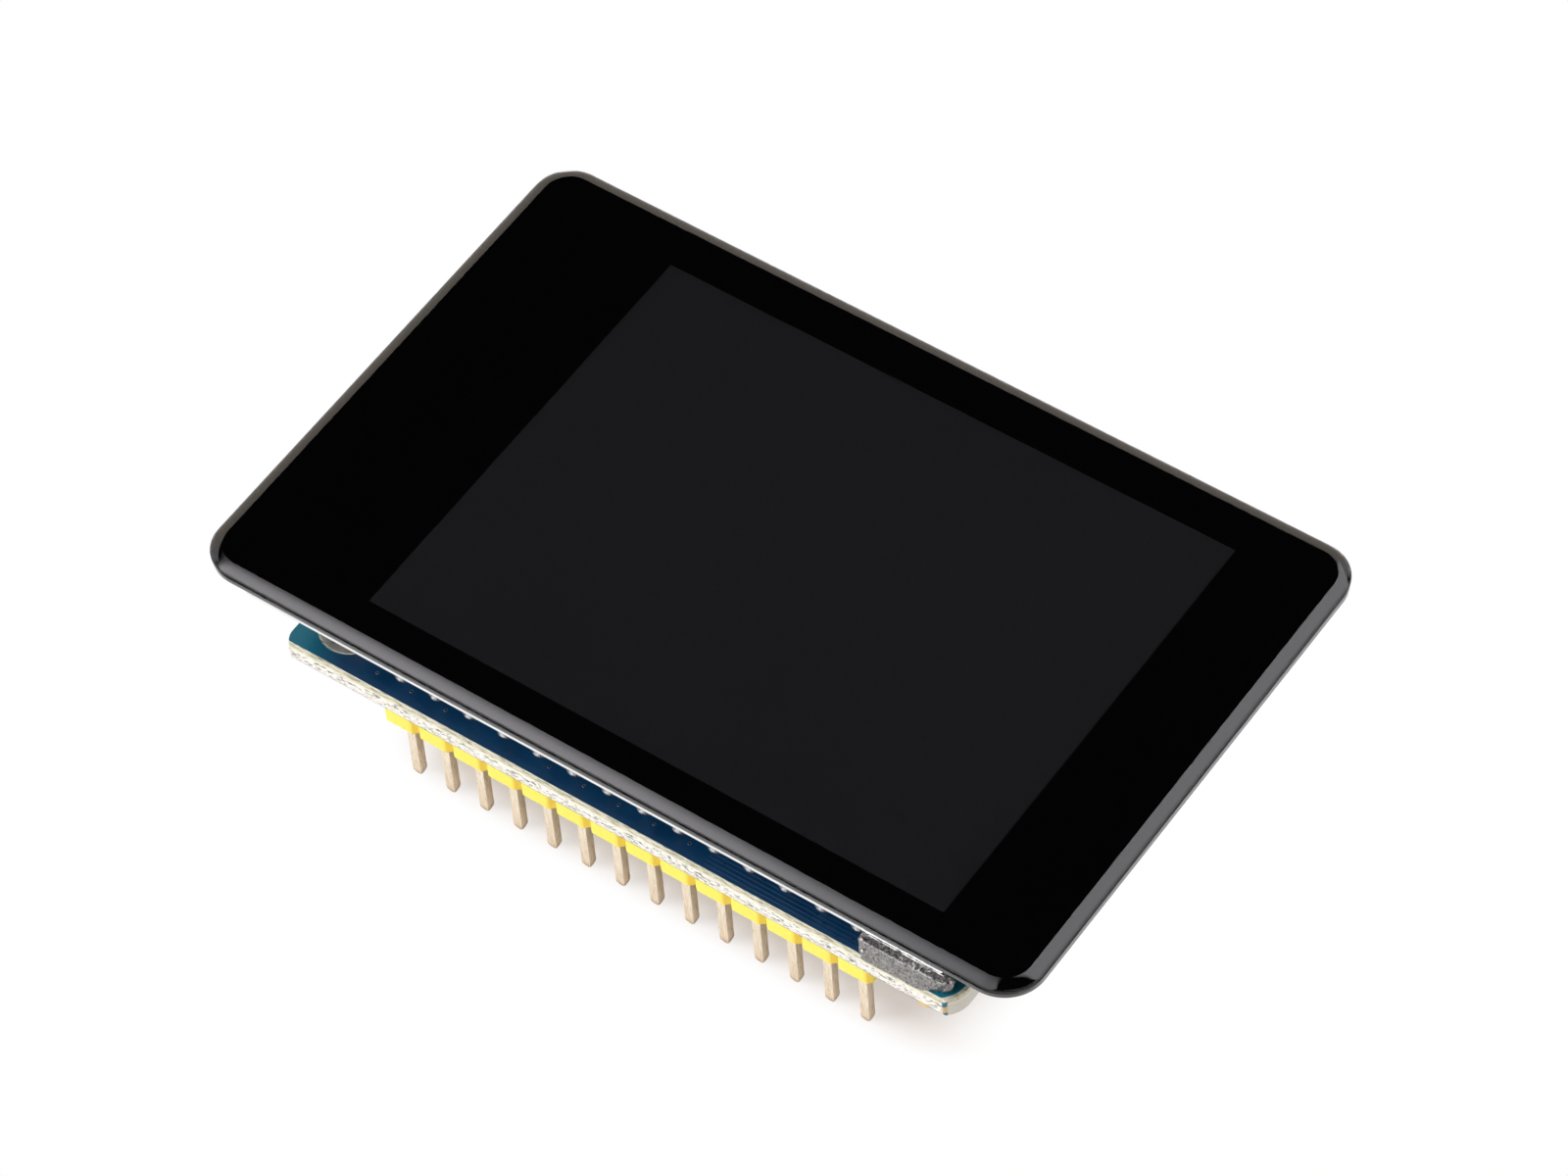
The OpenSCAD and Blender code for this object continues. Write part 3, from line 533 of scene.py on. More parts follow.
def make_finishes(glass, board, header):
    """Every finish of the part, once each."""
    cover_glass_finish()
    board_edge_finish(board)
    solder_mask_finish(board)
    flex_finish()
    strip_finish(header)
    via_finish(board)
    pin_finish(header)
    # Screen-printed ink: dead black, a little uneven where it was squeegeed
    grained(
        "black_screen_ink", "#010101", glass.ink, 0.4, (0.5, 0.6), 0.001, Specular_IOR_Level=0.0
    )
    # Neutral polariser: almost black grey, smooth
    screen = (glass.window_dark, glass.window, 0.15)
    grained("neutral_polariser_film", *screen, (0.2, 0.26), 0.0003)
    # Touch film bonded to the dark screen below: the two read as one neutral black, with no gloss
    grained("bonded_touch_film", *screen, (0.3, 0.36), 0.0002, Specular_IOR_Level=0.05)
    # Die-cut black adhesive foam, matt
    grained("black_gasket_adhesive", "#0A0A0A", "#161616", 0.12, (0.8, 0.9), 0.01)
    # Thin display glass: slightly green at its cut edges
    grained("display_pane_glass", "#7E9A92", "#93ACA5", 0.5, (0.05, 0.12), 0.001)
    # Bare ground silicon: dark grey mirror
    grained("ground_silicon", "#3A3C42", "#4A4C52", 0.05, (0.15, 0.25), 0.001, Metallic=0.6)
    # Stacked white light sheets: milky, soft
    grained("white_light_sheet", "#E6E8E8", "#F3F4F4", 0.2, (0.4, 0.5), 0.002)
    # Light guide acrylic: clear block, bright edge
    grained("clear_guide_acrylic", "#DCE6E6", "#EEF4F4", 0.6, (0.1, 0.18), 0.002)
    # Lamp resin: yellow phosphor
    grained("phosphor_lamp_resin", "#E8D24A", "#F2E27A", 0.1, (0.4, 0.5), 0.004)
    # White moulded polycarbonate: clean, satin
    grained("white_moulded_polycarbonate", "#E2E2DE", "#F0F0EC", 0.25, (0.4, 0.5), 0.004)
    # Pressed bright steel: mirror-like, rolling lines along the tray
    grained(
        "pressed_bright_steel", "#EDEDEB", "#FBFBFA", 0.08, (0.1, 0.2), 0.0003, (0.03, 1, 1),
        Metallic=1.0,
    )
    # Tin solder: bright, faintly frosted
    grained("tin_solder", "#8F8E8C", "#C6C5C2", 0.12, (0.18, 0.42), 0.02, Metallic=0.9)
    # Dull hand solder: grey, pitted, frosted as it froze
    grained("frosted_hand_solder", "#5E5C5A", "#B3B1AE", 0.12, (0.25, 0.5), 0.01, Metallic=0.8)
    # Solder that ran and froze smooth: bright, almost a mirror
    grained("bright_run_solder", "#DAD9D6", "#F4F3F0", 0.3, (0.12, 0.2), 0.002, Metallic=1.0)
    # Black epoxy moulding: matt, fine spark-eroded grain
    grained("black_epoxy_moulding", "#121214", "#1E1E20", 0.06, (0.55, 0.7), 0.006)
    # Black acrylic foam, open cells about a third of a millimetre wide
    grained("black_foam_tape", "#08080A", "#202024", 0.3, (0.8, 0.95), 0.08)
    # Mask over copper tracks: the same blue, a little paler along each raised line
    grained("blue_mask_over_tracks", "#0C3557", "#124067", 0.6, (0.26, 0.4), 0.002)
    # Tinned copper: solder-levelled, dull silver, a little wavy
    grained("tinned_copper_ring", "#8F8C88", "#B5B2AC", 0.5, (0.25, 0.45), 0.02, Metallic=0.6)
    # Moulded liquid crystal polymer: ivory, matt
    grained("ivory_socket_moulding", "#B7A98A", "#CDBF9E", 0.15, (0.5, 0.6), 0.004)
    # Gold-plated brass: warm and bright
    grained("gold_plated_brass", "#E3B54C", "#F4D27C", 0.2, (0.25, 0.4), 0.003, Metallic=0.9)
    # Fired alumina: dark, matt
    grained("fired_alumina", "#3B3A3C", "#4A4848", 0.1, (0.5, 0.6), 0.004)
    # Nickel-plated lid: pale warm metal
    grained("nickel_plated_lid", "#C6C2B8", "#D8D5CC", 0.2, (0.2, 0.32), 0.003, Metallic=1.0)
    # Pressed ferrite: dark grey, granular
    grained("pressed_ferrite", "#2C2C2E", "#454548", 0.12, (0.6, 0.75), 0.012)
    # Capacitor ceramic: brown, matt
    grained("brown_capacitor_ceramic", "#8A6A48", "#A5835C", 0.15, (0.4, 0.55), 0.004)
    # White legend ink, screen-printed: matt, a little thin in places
    grained("white_legend_ink", "#D9DCDC", "#F0F1F0", 0.25, (0.55, 0.7), 0.003)


# Which finish each solid layer that is kept from the CAD model takes
NODE_FINISHES = {
    "bonded_touch_film": ["touch_sensor"],
    "black_gasket_adhesive": ["panel_gasket"],
    "neutral_polariser_film": ["front_polariser", "rear_polariser"],
    "display_pane_glass": ["filter_pane", "transistor_pane"],
    "ground_silicon": ["driver_chip"],
    "white_light_sheet": ["prism_sheet", "diffuser_sheet", "reflector_sheet"],
    "clear_guide_acrylic": ["light_guide"],
    "amber_polyimide_flex": ["lamp_strip", "screen_tail", "touch_tail"],
    "phosphor_lamp_resin": ["backlight_lamps"],
    "white_moulded_polycarbonate": ["screen_frame"],
    "tin_solder": [
        "screen_tail_solder", "touch_tail_solder", "controller_contacts_row", "memory_leads",
        "regulator_leads", "inductor_ends", "capacitor_ends", "resistor_ends",
    ],
    "black_epoxy_moulding": ["resistor_bodies"],
    "black_foam_tape": ["foam_tape_front", "foam_tape_rear"],
    "ivory_socket_moulding": ["socket_base"],
    "gold_plated_brass": ["socket_ring", "socket_pin"],
    "fired_alumina": ["crystal_base"],
    "brown_capacitor_ceramic": ["capacitor_bodies"],
}


# Settings that a user would change


def length(name, description, size):
    """A length setting, given in millimetres."""
    return bpy.props.FloatProperty(
        name=name, description=description, default=size * MM, unit="LENGTH", precision=5
    )


def angle(name, description, degrees):
    """An angle setting, given in degrees."""
    return bpy.props.FloatProperty(
        name=name, description=description, default=math.radians(degrees), subtype="ANGLE"
    )


def colour(name, description, hex_code):
    """A colour setting, given as an sRGB hex code."""
    return bpy.props.FloatVectorProperty(
        name=name, description=description, default=linear_rgb(hex_code), subtype="COLOR",
        min=0, max=1,
    )


class DISPLAYBOARD_PG_glass(bpy.types.PropertyGroup):
    """The cover glass and what shows through it."""

    corner_radius: length("Corner radius", "Radius of the glass corners in plan", 2.7)
    edge_in: length("Edge run", "How far in from its wall the glass starts to curve down", 0.79)
    edge_drop: length("Edge drop", "How far the curve falls before it meets the wall", 0.34)
    crease_tilt: angle("Crease tilt", "Slope of the ground edge where it leaves the flat", 4)
    window_w: length("Window width", "Width of the opening in the border", 41.22)
    window_d: length("Window depth", "Depth of the opening in the border", 31.02)
    window_x: length("Window place", "How far the window sits to the right of the middle", 1.8)
    ink_bite: length("Ink bite", "How far the print stands in the glass", 0.03)
    wall_chamfer: length("Wall chamfer", "Chamfer at the foot of the glass wall", 0.03)
    seam: length("Seam", "Height and depth of the fine groove below the curved edge", 0.16)
    ink: colour("Border ink", "Colour of the printed border", "#020202")
    window: colour("Window", "Colour of the dark screen", "#1B1B1D")
    window_dark: colour("Window shade", "Darker part of the screen's mottling", "#19191B")


class DISPLAYBOARD_PG_board(bpy.types.PropertyGroup):
    """The circuit board."""

    left_radius: length("Left corner radius", "Radius of the left end's routed corners", 1.2)
    right_radius: length("Right corner radius", "Radius of the right end's routed corners", 2.0)
    corner_cut: length("Corner cut", "Part of the corner that the scored edge cuts away", 0.45)
    score_lean: length("Score lean", "How far the snapped web stands out past the scores", 0.12)
    score_depth: length("Score depth", "Depth of the score from each face", 0.51)
    roughness: length("Snap roughness", "Height of the torn threads", 0.045)
    via_r: length("Via radius", "Radius of the small plated vias", 0.08)
    mask_t: length("Mask thickness", "Thickness of the solder mask", 0.025)
    mask_margin: length("Mask margin", "Bare laminate at the board's right end", 0.27)
    bare_left: length("Bare left end", "Width of the copper-free left end", 4.2)
    bare_right: length("Bare right end", "Width of the copper-free right end", 2.2)
    laminate: colour("Laminate", "Colour of the cut laminate", "#E3E3CF")
    mask_copper: colour("Mask on copper", "Mask colour where copper lies below", "#0C486F")
    mask_bare: colour("Mask on laminate", "Mask colour where no copper lies below", "#006F84")


class DISPLAYBOARD_PG_header(bpy.types.PropertyGroup):
    """The two pin rows."""

    pitch: length("Pitch", "Distance from pin to pin", 2.54)
    corner_cut: length("Unit chamfer", "Chamfer at the corners of each moulded unit", 0.3)
    edge_round: length("Unit rounding", "Rounding of the moulded edges", 0.07)
    pin_width: length("Pin width", "Width of the square pins", 0.64)
    pin_taper: length("Pin taper", "Length of the pointed end", 0.9)
    strip: colour("Strip", "Colour of the insulator strips", "#FFFD64")
    strip_shade: colour("Strip shade", "Darker part of the strip's mottling", "#FFF552")
    pin: colour("Pin", "Colour of the pins", "#FFF2DC")
    pin_shade: colour("Pin shade", "Darker drawing lines of the pins", "#E6D8BE")


class DISPLAYBOARD_PG_tray(bpy.types.PropertyGroup):
    """The screen's steel tray."""

    corner_radius: length("Corner radius", "Radius of the tray's corners in plan", 0.5)
    sheet: length("Sheet", "Thickness of the steel sheet", 0.2)
    draft: length("Draft", "How far the walls lean in at the top", 0.16)
    foot_bend: length("Foot bend", "Rounding where the walls meet the tray's floor", 0.045)


class DISPLAYBOARD_PG_studio(bpy.types.PropertyGroup):
    """Floor, light and camera."""

    azimuth: angle("Azimuth", "Camera's turn round the part", 38.409)
    elevation: angle("Elevation", "Camera's height angle", 52.514)
    roll: angle("Roll", "Camera's lean", -4.486)
    distance: length("Distance", "From the camera to its aim", 376.27)
    aim: bpy.props.FloatVectorProperty(
        name="Aim", description="Point that the camera looks at",
        default=(1.70 * MM, -1.66 * MM, 14.5 * MM), subtype="TRANSLATION", unit="LENGTH",
    )
    lens: bpy.props.FloatProperty(
        name="Lens", description="Focal length in mm on a 36 mm wide picture", default=146.04
    )
    # The card's colour carries a faint painted warmth for light bounced into the shadow
    floor_card_painted_warm: colour("Floor", "Colour of the floor under the part", "#F6ECE4")
    # Painted warm tint of the lifted shadow, for bounced light
    shadow_painted_warmth: colour("Floor warmth", "Tint of the lifted shadow under the part", "#FFF0E3")
    floor_glow: bpy.props.FloatProperty(
        name="Floor lift", description="Share of plain white in the floor under the part",
        default=0.4, subtype="FACTOR", min=0, max=1,
    )
    shadow_reach: length("Shadow reach", "How far the shadow takes to run out into white", 3.2)


GROUPS = {
    "cover_glass": DISPLAYBOARD_PG_glass,
    "circuit_board": DISPLAYBOARD_PG_board,
    "pin_header": DISPLAYBOARD_PG_header,
    "screen_tray": DISPLAYBOARD_PG_tray,
    "studio": DISPLAYBOARD_PG_studio,
}


# Operators


class DISPLAYBOARD_OT_layers(bpy.types.Operator):
    """Makes the finishes and gives the kept solid layers theirs"""

    bl_idname = "display_board.layers"
    bl_label = "Solid layers"

    def execute(self, context):
        scene = context.scene
        make_finishes(scene.cover_glass, scene.circuit_board, scene.pin_header)
        for finish, nodes in NODE_FINISHES.items():
            for node in nodes:
                mesh = frame["nodes"][node].data
                mesh.materials.clear()
                mesh.materials.append(bpy.data.materials[finish])
        return {"FINISHED"}


class DISPLAYBOARD_OT_cover_glass(bpy.types.Operator):
    """Models the cover glass with its curved edge, and the border printed below it"""

    bl_idname = "display_board.cover_glass"
    bl_label = "Cover glass"

    # Steps round a corner in plan and up the curved edge, and the rim round the flat underside
    corner_steps, curve_steps, rim = 20, 14, 0.03 * MM

    def execute(self, context):
        sizes = context.scene.cover_glass
        self.glass(sizes)
        self.border(sizes)
        return {"FINISHED"}

    def glass(self, sizes):
        """A plate that ends in a fine groove, and over it the curved edge up to the flat."""
        low, high = corners("cover_glass")
        # A quarter ellipse on a slight slope, from the wall up: run out from the flat, and fall
        curve = []
        for i in range(self.curve_steps + 1):
            turn = math.pi / 2 * (1 - i / self.curve_steps)
            run, fall = sizes.edge_in * math.sin(turn), sizes.edge_drop * (1 - math.cos(turn))
            curve.append((run, fall + run * math.tan(sizes.crease_tilt)))
        glass = edit_block(low, (high.x, high.y, high.z - curve[0][1] - sizes.seam))
        round_edges(upright, sizes.corner_radius, segments=self.corner_steps)
        pick("FACE", faces_up)
        bpy.ops.mesh.inset(thickness=sizes.seam)
        extrude_up(sizes.seam)
        extrude_up(0)
        bpy.ops.transform.resize(
            value=(high.x / (high.x - sizes.seam), high.y / (high.y - sizes.seam), 1),
            center_override=((low.x + high.x) / 2, (low.y + high.y) / 2, high.z),
        )
        for (run, fall), (next_run, next_fall) in zip(curve, curve[1:]):
            bpy.ops.mesh.inset(thickness=run - next_run, depth=fall - next_fall)
        # The flat meets the ground edge in a crisp line
        pick("EDGE", at_level(high.z))
        bpy.ops.mesh.mark_sharp()
        round_edges(at_level(low.z), sizes.wall_chamfer, segments=2)
        # The rim keeps the underside's shading flat
        pick("FACE", lambda f: f.normal.z < -0.9999)
        bpy.ops.mesh.inset(thickness=self.rim)
        settle(
            glass, "glass_front", "toughened_cover_glass", ["cover_glass"], smooth=30
        )

    def border(self, sizes):
        """The ink, set a hair into the glass, as print has no air above it."""
        low, high = corners("black_border")
        glass_low, glass_high = corners("cover_glass")
        border = edit_block(
            (glass_low.x + NEAR, low.y, low.z),
            (glass_high.x - NEAR, high.y, high.z + sizes.ink_bite),
        )
        round_edges(upright, sizes.corner_radius, segments=self.corner_steps)
        middle = Vector((sizes.window_x, 0, high.z))
        half = Vector((sizes.window_w / 2, sizes.window_d / 2, MM))
        cut_away(border, edit_block(middle - half, middle + half))
        settle(border, "border_print", "black_screen_ink", ["black_border"], smooth=30)


class DISPLAYBOARD_OT_tray(bpy.types.Operator):
    """Models the screen's pressed steel tray, whose walls lean in towards the top"""

    bl_idname = "display_board.tray"
    bl_label = "Screen tray"

    def execute(self, context):
        sizes = context.scene.screen_tray
        low, high = corners("screen_tray")
        middle, half = (low + high) / 2, (high - low) / 2
        tray = edit_block(low, high)
        round_edges(upright, sizes.corner_radius, segments=6)
        pick("VERT", at_level(high.z))
        bpy.ops.transform.resize(
            value=(1 - sizes.draft / half.x, 1 - sizes.draft / half.y, 1), center_override=middle
        )
        round_edges(at_level(low.z), sizes.foot_bend, segments=3)
        # The bend ends in a line, so that the wall's shading keeps its own lean
        pick("EDGE", at_level(low.z + sizes.foot_bend, within=0.01 * MM))
        bpy.ops.mesh.mark_sharp()
        # The well that holds the screen
        pick("FACE", faces_up)
        bpy.ops.mesh.inset(thickness=sizes.sheet - sizes.draft)
        extrude_up(low.z + sizes.sheet - high.z)
        settle(
            tray, "tray_shell", "pressed_bright_steel", ["screen_tray"], smooth=40
        )
        return {"FINISHED"}


# Small vias in front of the pin row: which pins have one, its place from the pin, and its plating
VIA_PINS = (0, 1, 2, 5, 6, 7, 8, 9)
VIA_LEFT, VIA_AHEAD = 1.46 * MM, 0.84 * MM
VIA_WALL = 0.03 * MM


def ring_radius():
    """Radius of the tinned ring round a mounting hole."""
    low, high = corners("hole_plating")
    return (high.x - low.x) / 2


def hole_radius():
    """Radius of a mounting hole, from the record's bolt pattern."""
    sizes = [mount["dims"] for mount in frame["record"]["mounts"]]
    return MM * next(size["hole_r_mm"] for size in sizes if "hole_r_mm" in size)


def mounting_holes():
    """Centres of the two mounting holes."""
    low, high = corners("hole_plating")
    rim = ring_radius()
    return [(low.x + rim, low.y + rim), (low.x + rim, high.y - rim)]


def via_places():
    """Centres of the small vias."""
    low, high = corners("header_pins_front")
    header = bpy.context.scene.pin_header
    first, row = low.x + header.pin_width / 2, (low.y + high.y) / 2
    return [(first + i * header.pitch - VIA_LEFT, row - VIA_AHEAD) for i in VIA_PINS]


def row_steps(node):
    """The way from the first unit of a row to each unit, which is as wide as it is deep."""
    low, high = corners(node)
    pitch = bpy.context.scene.pin_header.pitch
    count = round((high.x - low.x - (high.y - low.y)) / pitch) + 1
    return [Vector((i * pitch, 0, 0)) for i in range(count)]


def raised_line(low, high, outer, soft, segments=2):
    """A bar on a face of the board, soft along its edge at the outer level."""
    bar = edit_block(low, high)
    round_edges(at_level(outer), soft, segments)
    return bar


def board_blank(low, high, sizes):
    """A board-shaped plate, open in edit mode: round ends, cut straight along the scored edges."""
    wide = Vector((0, sizes.corner_cut, 0))
    plate = edit_block(Vector(low) - wide, Vector(high) + wide)
    for end, radius in ((-1, sizes.left_radius), (1, sizes.right_radius)):
        round_edges(lambda e: upright(e) and e.verts[0].co.x * end > 0, radius, segments=12)
    cut_level(1, high[1], outward=1)
    cut_level(1, low[1], outward=-1)
    return plate


class DISPLAYBOARD_OT_circuit_board(bpy.types.Operator):
    """Models the laminate with its snapped edges, and the solder mask on both faces"""

    bl_idname = "display_board.circuit_board"
    bl_label = "Circuit board"

    # The torn web: rows of faces up it and cuts along it, and the size of a thread
    web_rows, web_cuts, thread = 5, 400, 0.2 * MM
    # Bare laminate round a ring
    ring_gap = 0.12 * MM

    def execute(self, context):
        sizes = context.scene.circuit_board
        low, high = corners("circuit_board")
        self.laminate(sizes, low, high)
        for side, level in (("upper", high.z), ("lower", low.z - sizes.mask_t)):
            self.mask(sizes, low, high, side, level)
        return {"FINISHED"}

    def laminate(self, sizes, low, high):
        """The board itself: a web stands out between the two scores, torn where it snapped."""
        lean = Vector((0, sizes.score_lean, 0))
        board = board_blank(low + lean, high - lean, sizes)
        top, foot = high.z - sizes.score_depth, low.z + sizes.score_depth
        for row in range(self.web_rows + 1):
            cut_level(2, foot + (top - foot) * row / self.web_rows)
        edge = high.y - sizes.score_lean - NEAR
        for side in (-1, 1):
            pick("VERT", lambda v: v.co.y * side > edge and foot - NEAR < v.co.z < top + NEAR)
            bpy.ops.transform.translate(value=(0, side * sizes.score_lean, 0))
        pick("EDGE", lambda e: runs_along(e, 0) and all(abs(v.co.y) > edge for v in e.verts))
        bpy.ops.mesh.subdivide(number_cuts=self.web_cuts)
        clear_selection()
        torn = board.vertex_groups.new(name="torn")
        outer = high.y - 0.1 * sizes.score_lean
        web = [v.index for v in board.data.vertices if abs(v.co.y) > outer]
        torn.add(web, 1.0, "REPLACE")
        roughen(
            board, "torn_threads", self.thread, depth=3, direction="NORMAL",
            strength=2 * sizes.roughness, mid_level=0.6, vertex_group="torn",
        )
        board.vertex_groups.clear()
        drill(board, mounting_holes(), hole_radius() + VIA_WALL, low.z - MM, high.z + MM)
        drill(board, via_places(), sizes.via_r + VIA_WALL, low.z - MM, high.z + MM)
        settle(
            board, "board_laminate", "scored_glass_epoxy", ["circuit_board"],
            smooth=40,
        )

    def mask(self, sizes, low, high, side, level):
        """The mask of one face, open round the rings and the vias."""
        face = high.y - sizes.score_lean
        plate = board_blank(
            (low.x, -face, level), (high.x - sizes.mask_margin, face, level + sizes.mask_t), sizes
        )
        drill(plate, mounting_holes(), ring_radius() + self.ring_gap, level - MM, level + MM)
        drill(plate, via_places(), sizes.via_r + VIA_WALL, level - MM, level + MM)
        settle(plate, f"mask_{side}", "blue_solder_mask", smooth=30)


class DISPLAYBOARD_OT_board_metal(bpy.types.Operator):
    """Models the tinned rings of the mounting holes, the small vias and the raised tracks"""

    bl_idname = "display_board.board_metal"
    bl_label = "Rings, vias and tracks"

    def execute(self, context):
        sizes = context.scene.circuit_board
        low, high = corners("circuit_board")
        self.rings(low, high)
        self.vias(sizes, high)
        self.tracks(sizes, low, high)
        return {"FINISHED"}

    def rings(self, low, high):
        """Plated holes with a ring on each face, domed by the solder on it."""
        hole, rim, deep = hole_radius(), ring_radius(), high.z - low.z
        wall, dome, slope, lip = 0.05 * MM, 0.09 * MM, 0.2 * MM, 0.02 * MM
        upper = [
            (hole + wall, deep), (rim, deep), (rim - lip, deep + 0.6 * dome),
            (rim - slope, deep + dome), (hole + slope, deep + dome), (hole, deep + 0.3 * dome),
        ]
        outline = upper + [(radius, deep - height) for radius, height in reversed(upper)]
        rings = [spun(outline, (x, y, low.z)) for x, y in mounting_holes()]
        settle(
            joined(rings), "mounting_rings", "tinned_copper_ring",
            ["hole_plating"], smooth=50,
        )

    def vias(self, sizes, high):
        """Thin plated barrels with a lip just over the mask."""
        bore, wall, lip = sizes.via_r, VIA_WALL, sizes.mask_t
        foot, floor, crown = -1.2 * MM, -1.1 * MM, 0.006 * MM
        rings = [
            (bore + wall, foot), (bore + wall, lip), (bore + 0.6 * wall, lip + crown),
            (bore, lip), (0.95 * bore, floor),
        ]
        x, y = via_places()[0]
        barrel = turned(rings, (x, y, high.z), sides=20)
        steps = [Vector((px - x, py - y, 0)) for px, py in via_places()]
        settle(repeated(barrel, steps), "via_barrels", "plated_via", smooth=40)

    def tracks(self, sizes, low, high):
        """Five long tracks under the mask, in front of the last pins."""
        count, gap, wide, soft = 5, 0.29 * MM, 0.15 * MM, 0.01 * MM
        run, under_bond, margin, sunk, proud = (
            size * MM for size in (10.5, 0.3, 0.24, 0.01, 0.012)
        )
        foot, top = high.z + sizes.mask_t - sunk, high.z + sizes.mask_t + proud
        start = corners("header_pins_front")[1].x - run
        end = corners("frame_solder")[0].x + under_bond
        first = low.y + sizes.score_lean + margin
        track = raised_line((start, first, foot), (end, first + wide, top), top, soft)
        steps = [Vector((0, i * gap, 0)) for i in range(count)]
        settle(
            repeated(track, steps), "mask_tracks", "blue_mask_over_tracks",
            smooth=40,
        )


class DISPLAYBOARD_OT_chips(bpy.types.Operator):
    """Models the chips, the crystal's lid and the inductor under the board, and their marks"""

    bl_idname = "display_board.chips"
    bl_label = "Chips"

    # Node: piece, finish, slot, and in mm its side draft, edge rounding and its dimple's radius
    bodies = {
        "controller_chip": ("controller_body", "black_epoxy_moulding", "chip_resin", 0, 0.05, 0.32),
        "memory_chip": ("memory_body", "black_epoxy_moulding", "chip_resin", 0.16, 0.06, 0.35),
        "regulator_chip": ("regulator_body", "black_epoxy_moulding", "chip_resin", 0.1, 0.05, 0),
        "touch_chip": ("touch_body", "black_epoxy_moulding", "chip_resin", 0, 0.04, 0.2),
        "crystal_lid": ("crystal_cap", "nickel_plated_lid", "lid_metal", 0.05, 0.12, 0),
        "power_inductor": ("inductor_block", "pressed_ferrite", "ferrite", 0.03, 0.22, 0),
    }

    def execute(self, context):
        for node, facts in self.bodies.items():
            self.body(node, *facts)
        self.legend(context.scene.circuit_board)
        return {"FINISHED"}

    def body(self, node, name, finish, slot, draft, rounding, dimple):
        """A moulded body: sides that lean in outwards, and a dimple by its first contact."""
        low, high = corners(node)
        middle, half = (low + high) / 2, (high - low) / 2
        shape = edit_block(low, high)
        pick("VERT", at_level(low.z))
        bpy.ops.transform.resize(
            value=(1 - draft * MM / half.x, 1 - draft * MM / half.y, 1), center_override=middle
        )
        on_board = at_level(high.z)
        round_edges(lambda e: not on_board(e), rounding * MM, segments=3)
        if dimple:
            # Its middle lies a little over two radii in from the outer face's sides
            inset, depth = (draft + 2.2 * dimple) * MM, 0.05 * MM
            place = (low.x + inset, low.y + inset)
            drill(shape, [place], dimple * MM, low.z - MM, low.z + depth)
        settle(shape, name, finish, [node], smooth=30)

    def legend(self, board):
        """Printed corner brackets round three bodies, and a dot at each chip's first contact."""
        level = corners("circuit_board")[0].z - board.mask_t
        outer, inner, soft = level - 0.012 * MM, level + 0.005 * MM, 0.008 * MM
        arm, wide, gap, leads, aside = (size * MM for size in (1.0, 0.14, 0.5, 0.9, 0.45))
        dot = ((0.2, 0.005), (0.2, -0.009), (0.18, -0.012), (0.05, -0.013))
        dot = [(radius * MM, height * MM) for radius, height in dot]
        bars = (((0, 0), (arm, wide)), ((0, wide), (wide, arm)))
        prints = []
        # Body, room along Y up to the brackets, and whether it has a dot
        for node, room, dotted in (
            ("controller_chip", gap, True), ("memory_chip", gap + leads, True),
            ("power_inductor", gap, False),
        ):
            low, high = corners(node)
            middle, reach = (low + high) / 2, (high - low) / 2 + Vector((gap, room, 0))
            for side in ((-1, -1), (1, -1), (1, 1), (-1, 1)):
                side = Vector((*side, 0))
                for bar in bars:
                    ends = [middle + side * (reach - Vector((*end, 0))) for end in bar]
                    start, stop = (Vector(map(choose, *ends)) for choose in (min, max))
                    start.z, stop.z = outer, inner
                    prints.append(raised_line(start, stop, outer, soft, segments=1))
            if dotted:
                place = (middle.x - reach.x - aside, middle.y - reach.y + arm / 2, level)
                prints.append(turned(dot, place, sides=24))
        settle(joined(prints), "legend_marks", "white_legend_ink", smooth=30)


